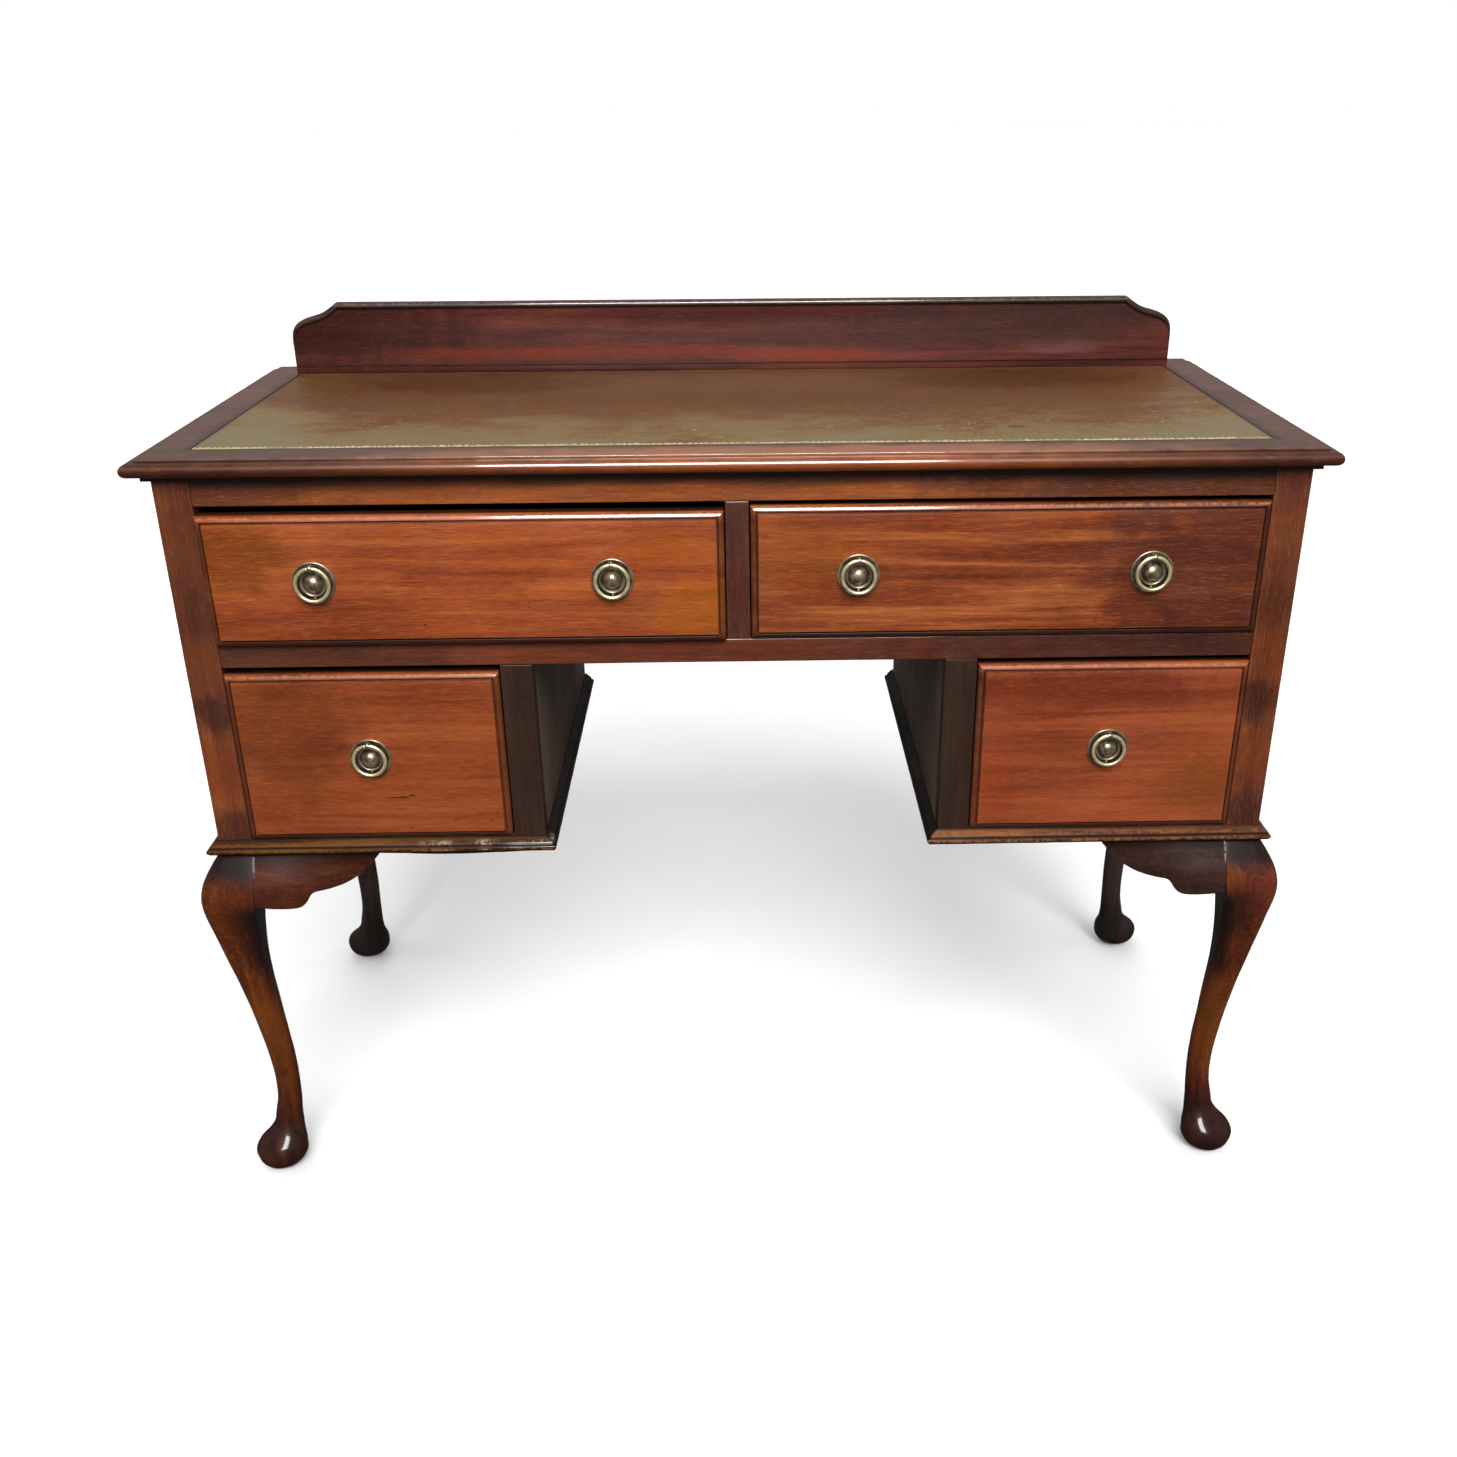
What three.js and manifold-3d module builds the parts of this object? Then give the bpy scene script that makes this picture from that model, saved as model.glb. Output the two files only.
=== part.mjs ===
// A writing desk with drawers: a leather-lined top with a low gallery at the back, two frieze
// drawers over two pedestal drawers with a kneehole between them, and four cabriole legs.
// Millimetres, +Z up. The front faces -Y, and the origin is on the floor under the desk's middle.
import * as THREE from "three";
import { mergeVertices } from "three/addons/utils/BufferGeometryUtils.js";
import Module from "manifold-3d";

const wasm = await Module();
wasm.setup();

// Driving dimensions. Distances in y are measured back from the carcass's front face.
const carcassWidth = 1020;
const carcassDepth = 470;
const pedestalBottom = 375;
const carcassTop = 736;
const writingHeight = 755;
const kneeholeWidth = 384;
const gap = 0.3; // glue line between two pieces that touch

const frameThickness = 20; // stiles, rails and muntin, front to back
const stileWidth = 32.4;
const kneeholeStileWidth = 30;
const muntinWidth = 21.4;
const friezeRailBottom = 712.3;
const middleRailTop = 586;
const middleRailBottom = 564;
const sideThickness = 18;
const kneeholeSideThickness = 14;
const baseThickness = 14.7;
const dustThickness = 10;
const backThickness = 8;
const guideHeight = 13;

const topFlatOverhang = 8.3; // from the carcass to the edge of the top's flat
const topBackOverhang = 18;
const noseRadius = 6;
const noseReach = 5; // from the edge of the flat to the middle of the rounded nose
const filletReach = -2;
const filletHeight = 4.5;
const quirkDepth = 2.5;
const leatherHalfWidth = 482.6;
const leatherFront = 34;
const leatherBack = 434.5;
const leatherThickness = 1.4;

const galleryTop = 828.5;
const galleryFront = 435.4;
const galleryThickness = 14;
const galleryHalfWidth = 485.5;
const galleryBeadHeight = 6;
const galleryBeadReach = 3.2;

const mouldingHeight = 15;
const mouldingReach = 10.5;

const footRadius = 27.5;
const bracketLength = 122;
const bracketThickness = 18;

const drawerBoardThickness = 14;
const drawerGap = 1;
const drawerFieldReach = 7; // how far a drawer's flat field stands in front of the frame
const drawerBoxDepth = 415;
const drawerWall = 9;
const drawerTopClearance = 16;
const drawerBottomRise = 6;
const drawerBottomThickness = 6;

const pullPlateRadius = 19.3;
const pullRingRadius = 14.8;
const pullWireRadius = 1.7;
const pullRingReach = 7; // from the drawer's field to the ring's plane
const pullHoleClearance = 0.4;
const pullLugWidth = 3.2;

const halfWidth = carcassWidth / 2;
const kneeholeHalf = kneeholeWidth / 2;
const muntinHalf = muntinWidth / 2;
const stileInner = halfWidth - stileWidth;
const kneeholeStileOuter = kneeholeHalf + kneeholeStileWidth;
const insideHalf = halfWidth - sideThickness - gap;
const panelFront = frameThickness + gap;
const backFront = carcassDepth - backThickness;
const panelBack = backFront - gap;
const carcassBottom = pedestalBottom + gap;
const underTop = carcassTop - gap;

function look(color, roughness, metalness = 0) {
  return new THREE.MeshStandardMaterial({ color, roughness, metalness });
}

const looks = {
  frame: look(0x5a2c1c, 0.45),
  drawer: look(0x9a4a22, 0.4),
  dark: look(0x2e1a14, 0.55),
  inside: look(0xa98558, 0.8),
  leather: look(0x6a5a34, 0.6),
  ring: look(0xb9a66b, 0.35, 1),
  rosette: look(0x5a4c3c, 0.4, 1),
};

// The group's own frame puts the middle of the carcass at y = 0.
const desk = new THREE.Group();
desk.position.y = -carcassDepth / 2;

function add(name, geometry, material, parent = desk) {
  const mesh = new THREE.Mesh(geometry, material);
  mesh.name = name;
  parent.add(mesh);
}

function board([x0, x1], [y0, y1], [z0, z1]) {
  const box = new THREE.BoxGeometry(x1 - x0, y1 - y0, z1 - z0);
  return box.translate((x0 + x1) / 2, (y0 + y1) / 2, (z0 + z1) / 2);
}

// A shape drawn in x and z, given a thickness back from yFront.
function plate(shape, yFront, thickness) {
  const solid = new THREE.ExtrudeGeometry(shape, { depth: thickness, bevelEnabled: false, curveSegments: 8 });
  return solid.rotateX(Math.PI / 2).translate(0, yFront + thickness, 0);
}

function signedVolume(points, index) {
  let total = 0;
  for (let i = 0; i < index.length; i += 3) {
    const [a, b, c] = [points[index[i]], points[index[i + 1]], points[index[i + 2]]];
    total += new THREE.Vector3().crossVectors(a, b).dot(c);
  }
  return total;
}

// A closed solid through rings that all have the same number of corners, with its faces outwards.
function loft(rings) {
  const count = rings[0].length;
  const last = (rings.length - 1) * count;
  const points = rings.flat();
  const index = [];
  const middle = (ring) => ring.reduce((sum, p) => sum.add(p), new THREE.Vector3()).divideScalar(count);
  points.push(middle(rings[0]), middle(rings[rings.length - 1]));
  for (let i = 0; i < count; i++) {
    const next = (i + 1) % count;
    for (let r = 0; r < last; r += count) {
      index.push(r + i, r + next, r + next + count);
      index.push(r + i, r + next + count, r + i + count);
    }
    index.push(points.length - 2, next, i);
    index.push(points.length - 1, last + i, last + next);
  }
  if (signedVolume(points, index) < 0) index.reverse();
  return new THREE.BufferGeometry().setFromPoints(points).setIndex(index);
}

function manifold(geometry) {
  const bare = new THREE.BufferGeometry().setAttribute("position", geometry.getAttribute("position"));
  const merged = mergeVertices(bare.setIndex(geometry.getIndex()));
  return new wasm.Manifold(
    new wasm.Mesh({
      numProp: 3,
      vertProperties: merged.getAttribute("position").array,
      triVerts: new Uint32Array(merged.getIndex().array),
    }),
  );
}

// Pieces glued or soldered into one solid. Each has to run a little into the next.
function join(...geometries) {
  const whole = geometries.map(manifold).reduce((sum, part) => sum.add(part));
  const mesh = whole.getMesh();
  const positions = new THREE.BufferAttribute(mesh.vertProperties, 3);
  return new THREE.BufferGeometry().setAttribute("position", positions).setIndex([...mesh.triVerts]);
}

function arc(cx, cy, radius, from, to, steps) {
  return Array.from({ length: steps + 1 }, (_, i) => {
    const angle = from + ((to - from) * i) / steps;
    return [cx + radius * Math.cos(angle), cy + radius * Math.sin(angle)];
  });
}

// The top board: a rounded nose on the front and both ends, over a small fillet, and a sunk panel.
function topBoard() {
  const ring = (half, front, back, z) => [
    new THREE.Vector3(-half, front, z),
    new THREE.Vector3(half, front, z),
    new THREE.Vector3(half, back, z),
    new THREE.Vector3(-half, back, z),
  ];
  const quirk = writingHeight - quirkDepth;
  const edge = [
    [filletReach, carcassTop],
    [filletReach, carcassTop + filletHeight],
    ...arc(noseReach, quirk - noseRadius, noseRadius, -Math.PI / 2, Math.PI / 2, 6),
    [0, quirk],
    [0, writingHeight],
  ];
  const rings = edge.map(([reach, z]) => {
    const overhang = topFlatOverhang + reach;
    return ring(halfWidth + overhang, -overhang, carcassDepth + topBackOverhang, z);
  });
  const recess = writingHeight - leatherThickness - 2 * gap;
  for (const z of [writingHeight, recess])
    rings.push(ring(leatherHalfWidth + gap, leatherFront - gap, leatherBack + gap, z));
  return loft(rings);
}

// The gallery's right end, from the end of its straight top edge: a sweep down to a rounded corner.
const galleryEnd = new THREE.SplineCurve(
  [
    [51, 0],
    [44, 5],
    [33, 11],
    [21, 14.5],
    [11, 18],
    [4, 24],
    [0.6, 32.5],
    [0, 44],
  ].map(([inward, down]) => new THREE.Vector2(galleryHalfWidth - inward, galleryTop - down)),
).getPoints(14);

// The gallery: a low board whose top edge is straight between its two shaped ends.
function galleryBoard() {
  const foot = writingHeight + gap;
  const right = [...galleryEnd, new THREE.Vector2(galleryHalfWidth, foot)];
  const left = right.map(({ x, y }) => new THREE.Vector2(-x, y)).reverse();
  return plate(new THREE.Shape([...right, ...left]), galleryFront, galleryThickness);
}

// A half-round bead that follows the gallery's top edge and dies away down its rounded corners.
function galleryBead() {
  const radius = galleryBeadHeight / 2;
  const section = arc(0, 0, radius, Math.PI / 2, (3 * Math.PI) / 2, 6);
  const squash = galleryBeadReach / radius;
  const left = galleryEnd.map(({ x, y }) => new THREE.Vector2(-x, y)).reverse();
  const path = [...left, ...galleryEnd];
  const rings = path.map((point, i) => {
    const before = path[Math.max(i - 1, 0)];
    const after = path[Math.min(i + 1, path.length - 1)];
    const along = after.clone().sub(before).normalize();
    const inward = new THREE.Vector2(along.y, -along.x);
    const fade = THREE.MathUtils.smoothstep(point.y, galleryTop - 40, galleryTop - 14);
    const size = THREE.MathUtils.lerp(0.25, 1, fade);
    return section.map(([y, up]) => {
      const { x, y: z } = point.clone().addScaledVector(inward, (radius - up) * size);
      return new THREE.Vector3(x, galleryFront - gap + y * squash * size, z);
    });
  });
  return loft(rings);
}

// Base moulding, as [how far it stands out, height]: a sloped face, a groove and a bead.
const mouldingTop = pedestalBottom + mouldingHeight;
const mouldingSection = [
  [gap, carcassBottom],
  [gap, mouldingTop],
  [1.2, mouldingTop],
  [7.6, mouldingTop - 5.6],
  [7.4, mouldingTop - 6.8],
  [8.8, mouldingTop - 7],
  [mouldingReach, mouldingTop - 9.4],
  [9.6, mouldingTop - 12.2],
  [3, carcassBottom],
];

// One length of base moulding. place puts a point of the section at each of the two mitred ends.
function moulding(...places) {
  return loft(places.map((place) => mouldingSection.map(([reach, z]) => place(reach, z))));
}

// The pedestal's base board, with a tongue between the stiles and a guide strip at each side.
function pedestalBase() {
  const top = carcassBottom + baseThickness - gap;
  const inner = kneeholeHalf + kneeholeSideThickness + gap;
  const depth = [panelFront, panelBack];
  const guide = [top - 1, top + guideHeight];
  return join(
    board([inner, insideHalf], depth, [carcassBottom, top]),
    board([kneeholeStileOuter + gap, stileInner - gap], [0, panelFront + 1], [carcassBottom, top]),
    board([inner, kneeholeStileOuter - 1], depth, guide),
    board([stileInner + 1, insideHalf], depth, guide),
  );
}

// The dust board carries the frieze drawers, and has a guide strip at each end.
function dustBoard() {
  const depth = [panelFront, panelBack];
  const guide = [middleRailTop - 1, middleRailTop + guideHeight];
  return join(
    board([-insideHalf, insideHalf], depth, [middleRailTop - dustThickness, middleRailTop]),
    board([stileInner + 1, insideHalf], depth, guide),
    board([-insideHalf, -stileInner - 1], depth, guide),
  );
}

// The back panel spans both pedestals and is cut away behind the kneehole.
function backPanel() {
  const cut = kneeholeHalf + kneeholeSideThickness + gap;
  const cutTop = middleRailTop - dustThickness;
  const outline = new THREE.Shape([
    new THREE.Vector2(-insideHalf, carcassBottom),
    new THREE.Vector2(-cut, carcassBottom),
    new THREE.Vector2(-cut, cutTop),
    new THREE.Vector2(cut, cutTop),
    new THREE.Vector2(cut, carcassBottom),
    new THREE.Vector2(insideHalf, carcassBottom),
    new THREE.Vector2(insideHalf, underTop),
    new THREE.Vector2(-insideHalf, underTop),
  ]);
  return plate(outline, backFront, backThickness);
}

// Leg shape by height above the floor, as distances from the carcass's corner: the outer faces
// stand out by the first, and the inner faces lie inside by the second.
const legLevels = [
  [0, 8, 15.5],
  [2.5, 14, 22],
  [7, 18.6, 27.6],
  [13, 21.2, 31.2],
  [21, 22, footRadius * 2 - 22],
  [29, 17.8, 31.6],
  [38.5, 7.6, 30],
  [48.5, 0.6, 29.6],
  [57, -1.5, 29.6],
  [80, -6, 30.6],
  [115, -6.2, 31.4],
  [185, 1, 28],
  [245, 10.4, 25],
  [290, 18.4, 26.2],
  [325, 24, 30.6],
  [345, 20.5, 32],
  [363, 11, 32],
  [pedestalBottom - gap, 3, 32],
];
const legBlock = 32;
const legShape = new THREE.CubicInterpolant(
  legLevels.map(([z]) => z),
  legLevels.flatMap(([, outer, inner]) => [outer, inner]),
  2,
);

function legAt(z) {
  const [outer, inner] = legShape.evaluate(z);
  return { outer, inner: Math.min(inner, legBlock) };
}

// Four corners of a leg's section: the knee's outer corner is soft and its others square, and
// all of them are fully round from the ankle down.
function legRing(z) {
  const { outer, inner } = legAt(z);
  const half = (outer + inner) / 2;
  const centre = (outer - inner) / 2;
  const ankle = 1 - THREE.MathUtils.smoothstep(z, 115, 325);
  const points = [];
  for (let corner = 0; corner < 4; corner++) {
    const kneeRound = corner === 3 ? 0.55 : 0.08;
    const radius = half * THREE.MathUtils.lerp(kneeRound, 1, ankle);
    const start = (corner * Math.PI) / 2;
    const alongX = corner === 0 || corner === 3 ? 1 : -1;
    const alongY = corner < 2 ? 1 : -1;
    const cx = centre + alongX * (half - radius);
    const cy = -centre + alongY * (half - radius);
    for (const [x, y] of arc(cx, cy, radius, start, start + Math.PI / 2.4, 3))
      points.push(new THREE.Vector3(x, y, z));
  }
  return points;
}

function leg() {
  const footLevels = [0, 1.2, 3.4, 7, 11.5, 17, 22, 27, 32, 37, 43, 51, 62];
  const shaftLevels = [85, 115, 150, 185, 220, 255, 285, 307, 325, 340, 353, 365, pedestalBottom - gap];
  return loft([...footLevels, ...shaftLevels].map(legRing));
}

// Lower edge of a knee bracket by distance from the leg: a lobe, a small step, then a long sweep.
const bracketEdge = new THREE.CubicInterpolant(
  [0, 20, 38, 46, 51, 56, 63, 74, 88, 102, 113, bracketLength],
  [326, 323.5, 322.3, 324, 329, 334.5, 337.8, 340, 344.5, 352.5, 362.5, 373],
  1,
);

// A knee bracket's face carries the knee's bulge on from the leg and fades it out to the tip.
function bracket(place) {
  const top = pedestalBottom - gap;
  const faceSteps = 5;
  const stations = 15;
  const rings = [];
  for (let i = 0; i <= stations; i++) {
    const along = (bracketLength * i) / stations;
    const bottom = Math.min(bracketEdge.evaluate(along)[0], top - 1.5);
    const fade = THREE.MathUtils.lerp(1, 0.12, THREE.MathUtils.smoothstep(along, -30, bracketLength));
    const ring = [place(along, -bracketThickness, bottom), place(along, -bracketThickness, top)];
    for (let j = 0; j <= faceSteps; j++) {
      const z = THREE.MathUtils.lerp(top, bottom, j / faceSteps);
      const reach = 3 + (legAt(z).outer - 3) * fade;
      ring.push(place(along, reach, z));
    }
    rings.push(ring);
  }
  return loft(rings);
}

// A drawer front, as [inset from its outline, distance back from the frame's face]: a rounded
// edge moulding, a quirk and a raised flat field.
const drawerFrontSection = [
  [0, drawerBoardThickness],
  [0, 0],
  [0.9, -2.6],
  [2.6, -4.4],
  [5.2, -5.2],
  [5.8, -4],
  [6.8, -4],
  [6.8, -drawerFieldReach],
];

function drawerFront([x0, x1], [z0, z1]) {
  const rings = drawerFrontSection.map(([inset, y]) => [
    new THREE.Vector3(x0 + inset, y, z0 + inset),
    new THREE.Vector3(x1 - inset, y, z0 + inset),
    new THREE.Vector3(x1 - inset, y, z1 - inset),
    new THREE.Vector3(x0 + inset, y, z1 - inset),
  ]);
  return loft(rings);
}

// A drawer's two sides and back in one piece, open towards the front.
function drawerBox([x0, x1], [z0, z1]) {
  const front = drawerBoardThickness + gap;
  const back = front + drawerBoxDepth;
  const outline = new THREE.Shape([
    new THREE.Vector2(x0, front),
    new THREE.Vector2(x0 + drawerWall, front),
    new THREE.Vector2(x0 + drawerWall, back - drawerWall),
    new THREE.Vector2(x1 - drawerWall, back - drawerWall),
    new THREE.Vector2(x1 - drawerWall, front),
    new THREE.Vector2(x1, front),
    new THREE.Vector2(x1, back),
    new THREE.Vector2(x0, back),
  ]);
  return new THREE.ExtrudeGeometry(outline, { depth: z1 - z0, bevelEnabled: false }).translate(0, 0, z0);
}

function drawerBottom([x0, x1], z0) {
  const front = drawerBoardThickness + gap;
  const inset = drawerWall + gap;
  const low = z0 + drawerBottomRise;
  return board(
    [x0 + inset, x1 - inset],
    [front, front + drawerBoxDepth - inset],
    [low, low + drawerBottomThickness],
  );
}

// A pull's rosette: a turned backplate with a collar and a dome, an eye at the top that the ring
// hangs in, and a small stud at the bottom that it rests on. Its axis points to the front.
function pullRosette() {
  const turned = [
    [0, 0],
    [pullPlateRadius, 0],
    [pullPlateRadius, 0.9],
    [18, 1.7],
    [15.6, 1.3],
    [12.2, 1.5],
    [11.4, 2.9],
    [10, 3.1],
    [8.6, 2.2],
    [8, 3.8],
    [6.6, 6.2],
    [4, 7.8],
    [0, 8.4],
  ];
  const profile = turned.map(([radius, reach]) => new THREE.Vector2(radius, reach));
  const plateAndDome = new THREE.LatheGeometry(profile, 20).rotateX(Math.PI);
  const eye = new THREE.Shape();
  const eyeRadius = pullWireRadius + pullHoleClearance + 1.5;
  eye.absarc(-pullRingReach, 0, eyeRadius, 0.8, 2 * Math.PI - 0.8);
  eye.lineTo(-0.8, -2.2);
  eye.lineTo(-0.8, 2.2);
  const hole = new THREE.Path();
  hole.absarc(-pullRingReach, 0, pullWireRadius + pullHoleClearance, 0, 2 * Math.PI);
  eye.holes.push(hole);
  const lug = new THREE.ExtrudeGeometry(eye, { depth: pullLugWidth, bevelEnabled: false, curveSegments: 10 });
  // The eye is drawn in y and z, so its axes turn to stand the lug across x.
  const toSide = new THREE.Matrix4().makeBasis(
    new THREE.Vector3(0, 1, 0),
    new THREE.Vector3(0, 0, 1),
    new THREE.Vector3(1, 0, 0),
  );
  lug.applyMatrix4(toSide).translate(-pullLugWidth / 2, 0, pullRingRadius);
  const stud = new THREE.CylinderGeometry(1, 1.3, 2.2, 8).rotateX(Math.PI);
  stud.translate(0, -2, -pullRingRadius + 1.6);
  return join(plateAndDome, lug, stud);
}

function pullRing() {
  const ring = new THREE.TorusGeometry(pullRingRadius, pullWireRadius, 8, 28);
  return ring.rotateX(Math.PI / 2).translate(0, -pullRingReach, 0);
}

const rosetteGeometry = pullRosette();
const ringGeometry = pullRing();

function pull(name, x, z, drawer) {
  const place = new THREE.Group();
  place.position.set(x, -drawerFieldReach - gap, z);
  drawer.add(place);
  add(`pull_rosette_${name}`, rosetteGeometry, looks.rosette, place);
  add(`pull_ring_${name}`, ringGeometry, looks.ring, place);
}

// Top, leather and gallery
add("top_board", topBoard(), looks.frame);
const leatherTop = writingHeight - gap / 3;
add(
  "writing_leather",
  board(
    [-leatherHalfWidth, leatherHalfWidth],
    [leatherFront, leatherBack],
    [leatherTop - leatherThickness, leatherTop],
  ),
  looks.leather,
);
add("gallery_board", galleryBoard(), looks.frame);
add("gallery_bead", galleryBead(), looks.frame);

// Pieces that cross the middle
const railSpan = [-stileInner + gap, stileInner - gap];
add("frieze_rail", board(railSpan, [0, frameThickness], [friezeRailBottom, underTop]), looks.frame);
add("middle_rail", board(railSpan, [0, frameThickness], [middleRailBottom, middleRailTop]), looks.frame);
const muntinSpan = [-muntinHalf, muntinHalf];
const muntinHeight = [middleRailTop + gap, friezeRailBottom - gap];
add("drawer_muntin", board(muntinSpan, [0, frameThickness], muntinHeight), looks.frame);
add(
  "centre_partition",
  board(muntinSpan, [panelFront, panelBack], [middleRailTop + gap, underTop]),
  looks.inside,
);
add("dust_board", dustBoard(), looks.inside);
add("back_panel", backPanel(), looks.dark);

// Pieces of each half, drawn on the right and mirrored for the left
for (const [side, sign] of [
  ["left", -1],
  ["right", 1],
]) {
  const half = new THREE.Group();
  half.scale.x = sign;
  desk.add(half);
  const pedestalTop = middleRailBottom - gap;
  const kneeholePanel = [kneeholeHalf, kneeholeHalf + kneeholeSideThickness];
  add(
    `front_stile_${side}`,
    board([stileInner, halfWidth], [0, frameThickness], [carcassBottom, underTop]),
    looks.frame,
    half,
  );
  add(
    `outer_side_${side}`,
    board([halfWidth - sideThickness, halfWidth], [panelFront, carcassDepth], [carcassBottom, underTop]),
    looks.frame,
    half,
  );
  add(
    `kneehole_stile_${side}`,
    board([kneeholeHalf, kneeholeStileOuter], [0, frameThickness], [carcassBottom, pedestalTop]),
    looks.dark,
    half,
  );
  add(
    `kneehole_side_${side}`,
    board(
      kneeholePanel,
      [panelFront, carcassDepth],
      [carcassBottom, middleRailTop - dustThickness - gap],
    ),
    looks.dark,
    half,
  );
  add(`pedestal_base_${side}`, pedestalBase(), looks.inside, half);
  add(
    `base_moulding_front_${side}`,
    moulding(
      (reach, z) => new THREE.Vector3(kneeholeHalf - reach + gap, -reach, z),
      (reach, z) => new THREE.Vector3(halfWidth + reach - gap, -reach, z),
    ),
    looks.frame,
    half,
  );
  add(
    `base_moulding_outer_${side}`,
    moulding(
      (reach, z) => new THREE.Vector3(halfWidth + reach, -reach + gap, z),
      (reach, z) => new THREE.Vector3(halfWidth + reach, carcassDepth, z),
    ),
    looks.frame,
    half,
  );
  add(
    `base_moulding_inner_${side}`,
    moulding(
      (reach, z) => new THREE.Vector3(kneeholeHalf - reach, -reach + gap, z),
      (reach, z) => new THREE.Vector3(kneeholeHalf - reach, carcassDepth, z),
    ),
    looks.dark,
    half,
  );
}

// Legs and knee brackets, drawn at a front right corner and mirrored to the other three
const legGeometry = leg();
const besideLeg = legBlock + gap;
const frontBracket = bracket((along, reach, z) => new THREE.Vector3(-besideLeg - along, -reach, z));
const sideBracket = bracket((along, reach, z) => new THREE.Vector3(reach, besideLeg + along, z));
for (const [end, y, forward] of [
  ["front", 0, 1],
  ["rear", carcassDepth, -1],
])
  for (const [side, sign] of [
    ["left", -1],
    ["right", 1],
  ]) {
    const corner = new THREE.Group();
    corner.position.set(sign * halfWidth, y, 0);
    corner.scale.set(sign, forward, 1);
    desk.add(corner);
    add(`leg_${end}_${side}`, legGeometry, looks.frame, corner);
    add(`bracket_side_${end}_${side}`, sideBracket, looks.frame, corner);
    if (end === "front") add(`bracket_front_${side}`, frontBracket, looks.frame, corner);
  }

// Drawers, drawn in the opening of each. headroom is the gap above the front, which has worn
// unevenly, ajar is how far a drawer stands open, and pulls are distances from the desk's middle.
const friezeOpening = { x: [muntinHalf, stileInner], z: [middleRailTop, friezeRailBottom] };
const pedestalOpening = { x: [kneeholeStileOuter, stileInner], z: [mouldingTop, middleRailBottom] };
const friezePullHeight = 646.5;
const pedestalPullHeight = 476;
const drawers = [
  {
    name: "upper_left",
    sign: -1,
    opening: friezeOpening,
    headroom: 7,
    ajar: 5,
    pulls: { outer: 378, inner: 112.5 },
  },
  {
    name: "upper_right",
    sign: 1,
    opening: friezeOpening,
    headroom: 4,
    ajar: 0,
    pulls: { outer: 374, inner: 108.5 },
  },
  { name: "lower_left", sign: -1, opening: pedestalOpening, headroom: 6, ajar: 0, pulls: { middle: 349.8 } },
  { name: "lower_right", sign: 1, opening: pedestalOpening, headroom: 5, ajar: 0, pulls: { middle: 349.8 } },
];
for (const { name, sign, opening, headroom, ajar, pulls } of drawers) {
  const drawer = new THREE.Group();
  drawer.position.y = -ajar;
  desk.add(drawer);
  const span = [opening.x[0] + drawerGap, opening.x[1] - drawerGap];
  const boxSpan = [span[0] + drawerGap, span[1] - drawerGap];
  const low = opening.z[0] + drawerGap;
  const high = opening.z[1] - headroom;
  const half = new THREE.Group();
  half.scale.x = sign;
  drawer.add(half);
  add(`drawer_front_${name}`, drawerFront(span, [low, high]), looks.drawer, half);
  add(`drawer_box_${name}`, drawerBox(boxSpan, [low, high - drawerTopClearance]), looks.inside, half);
  add(`drawer_bottom_${name}`, drawerBottom(boxSpan, low), looks.inside, half);
  const height = opening === friezeOpening ? friezePullHeight : pedestalPullHeight;
  for (const [where, x] of Object.entries(pulls)) pull(`${name}_${where}`, sign * x, height, drawer);
}

export default desk;
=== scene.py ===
import math

import bmesh
import bpy
from mathutils import Matrix, Vector, noise


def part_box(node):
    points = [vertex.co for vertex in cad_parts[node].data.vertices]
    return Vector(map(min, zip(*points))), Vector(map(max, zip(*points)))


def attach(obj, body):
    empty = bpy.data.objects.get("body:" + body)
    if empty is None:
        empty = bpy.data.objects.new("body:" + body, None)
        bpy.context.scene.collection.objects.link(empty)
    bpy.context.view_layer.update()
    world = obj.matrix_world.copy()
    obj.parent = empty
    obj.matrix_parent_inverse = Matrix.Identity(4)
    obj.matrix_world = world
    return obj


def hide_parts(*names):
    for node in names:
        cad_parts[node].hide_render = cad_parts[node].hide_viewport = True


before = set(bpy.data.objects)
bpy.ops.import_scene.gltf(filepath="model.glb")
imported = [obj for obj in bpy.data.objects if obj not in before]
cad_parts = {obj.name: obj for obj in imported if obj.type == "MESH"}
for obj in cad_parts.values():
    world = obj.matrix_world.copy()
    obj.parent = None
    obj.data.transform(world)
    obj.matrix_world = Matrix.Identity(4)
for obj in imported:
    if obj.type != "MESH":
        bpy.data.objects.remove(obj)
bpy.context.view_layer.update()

MM = 0.001
GAP = 0.3 * MM
PITCH = 9 * MM

# Places that several pieces share, worked out from the frame
stile_low, stile_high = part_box("front_stile_right")
HALF_WIDTH = stile_high.x
FRONT = stile_low.y
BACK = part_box("outer_side_right")[1].y
PEDESTAL_BOTTOM = stile_low.z - GAP
KNEEHOLE_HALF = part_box("kneehole_stile_right")[0].x
TOP_LOW, TOP_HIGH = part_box("top_board")
LEATHER_LOW, LEATHER_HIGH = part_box("writing_leather")
LINE_INSET = 4 * MM
SIDES = (("left", -1), ("right", 1))
ENDS = (("front", FRONT, 1), ("rear", BACK, -1))
DRAWERS = ("upper_left", "upper_right", "lower_left", "lower_right")
PULLS = (
    ("upper_left_outer", "upper_left"),
    ("upper_left_inner", "upper_left"),
    ("upper_right_inner", "upper_right"),
    ("upper_right_outer", "upper_right"),
    ("lower_left_middle", "lower_left"),
    ("lower_right_middle", "lower_right"),
)


# -------- numbers


def between(a, b, t):
    return a + (b - a) * t


def steps(a, b, count):
    return [between(a, b, i / count) for i in range(count + 1)]


def smooth(low, high, value):
    t = min(max((value - low) / (high - low), 0), 1)
    return t * t * (3 - 2 * t)


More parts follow.
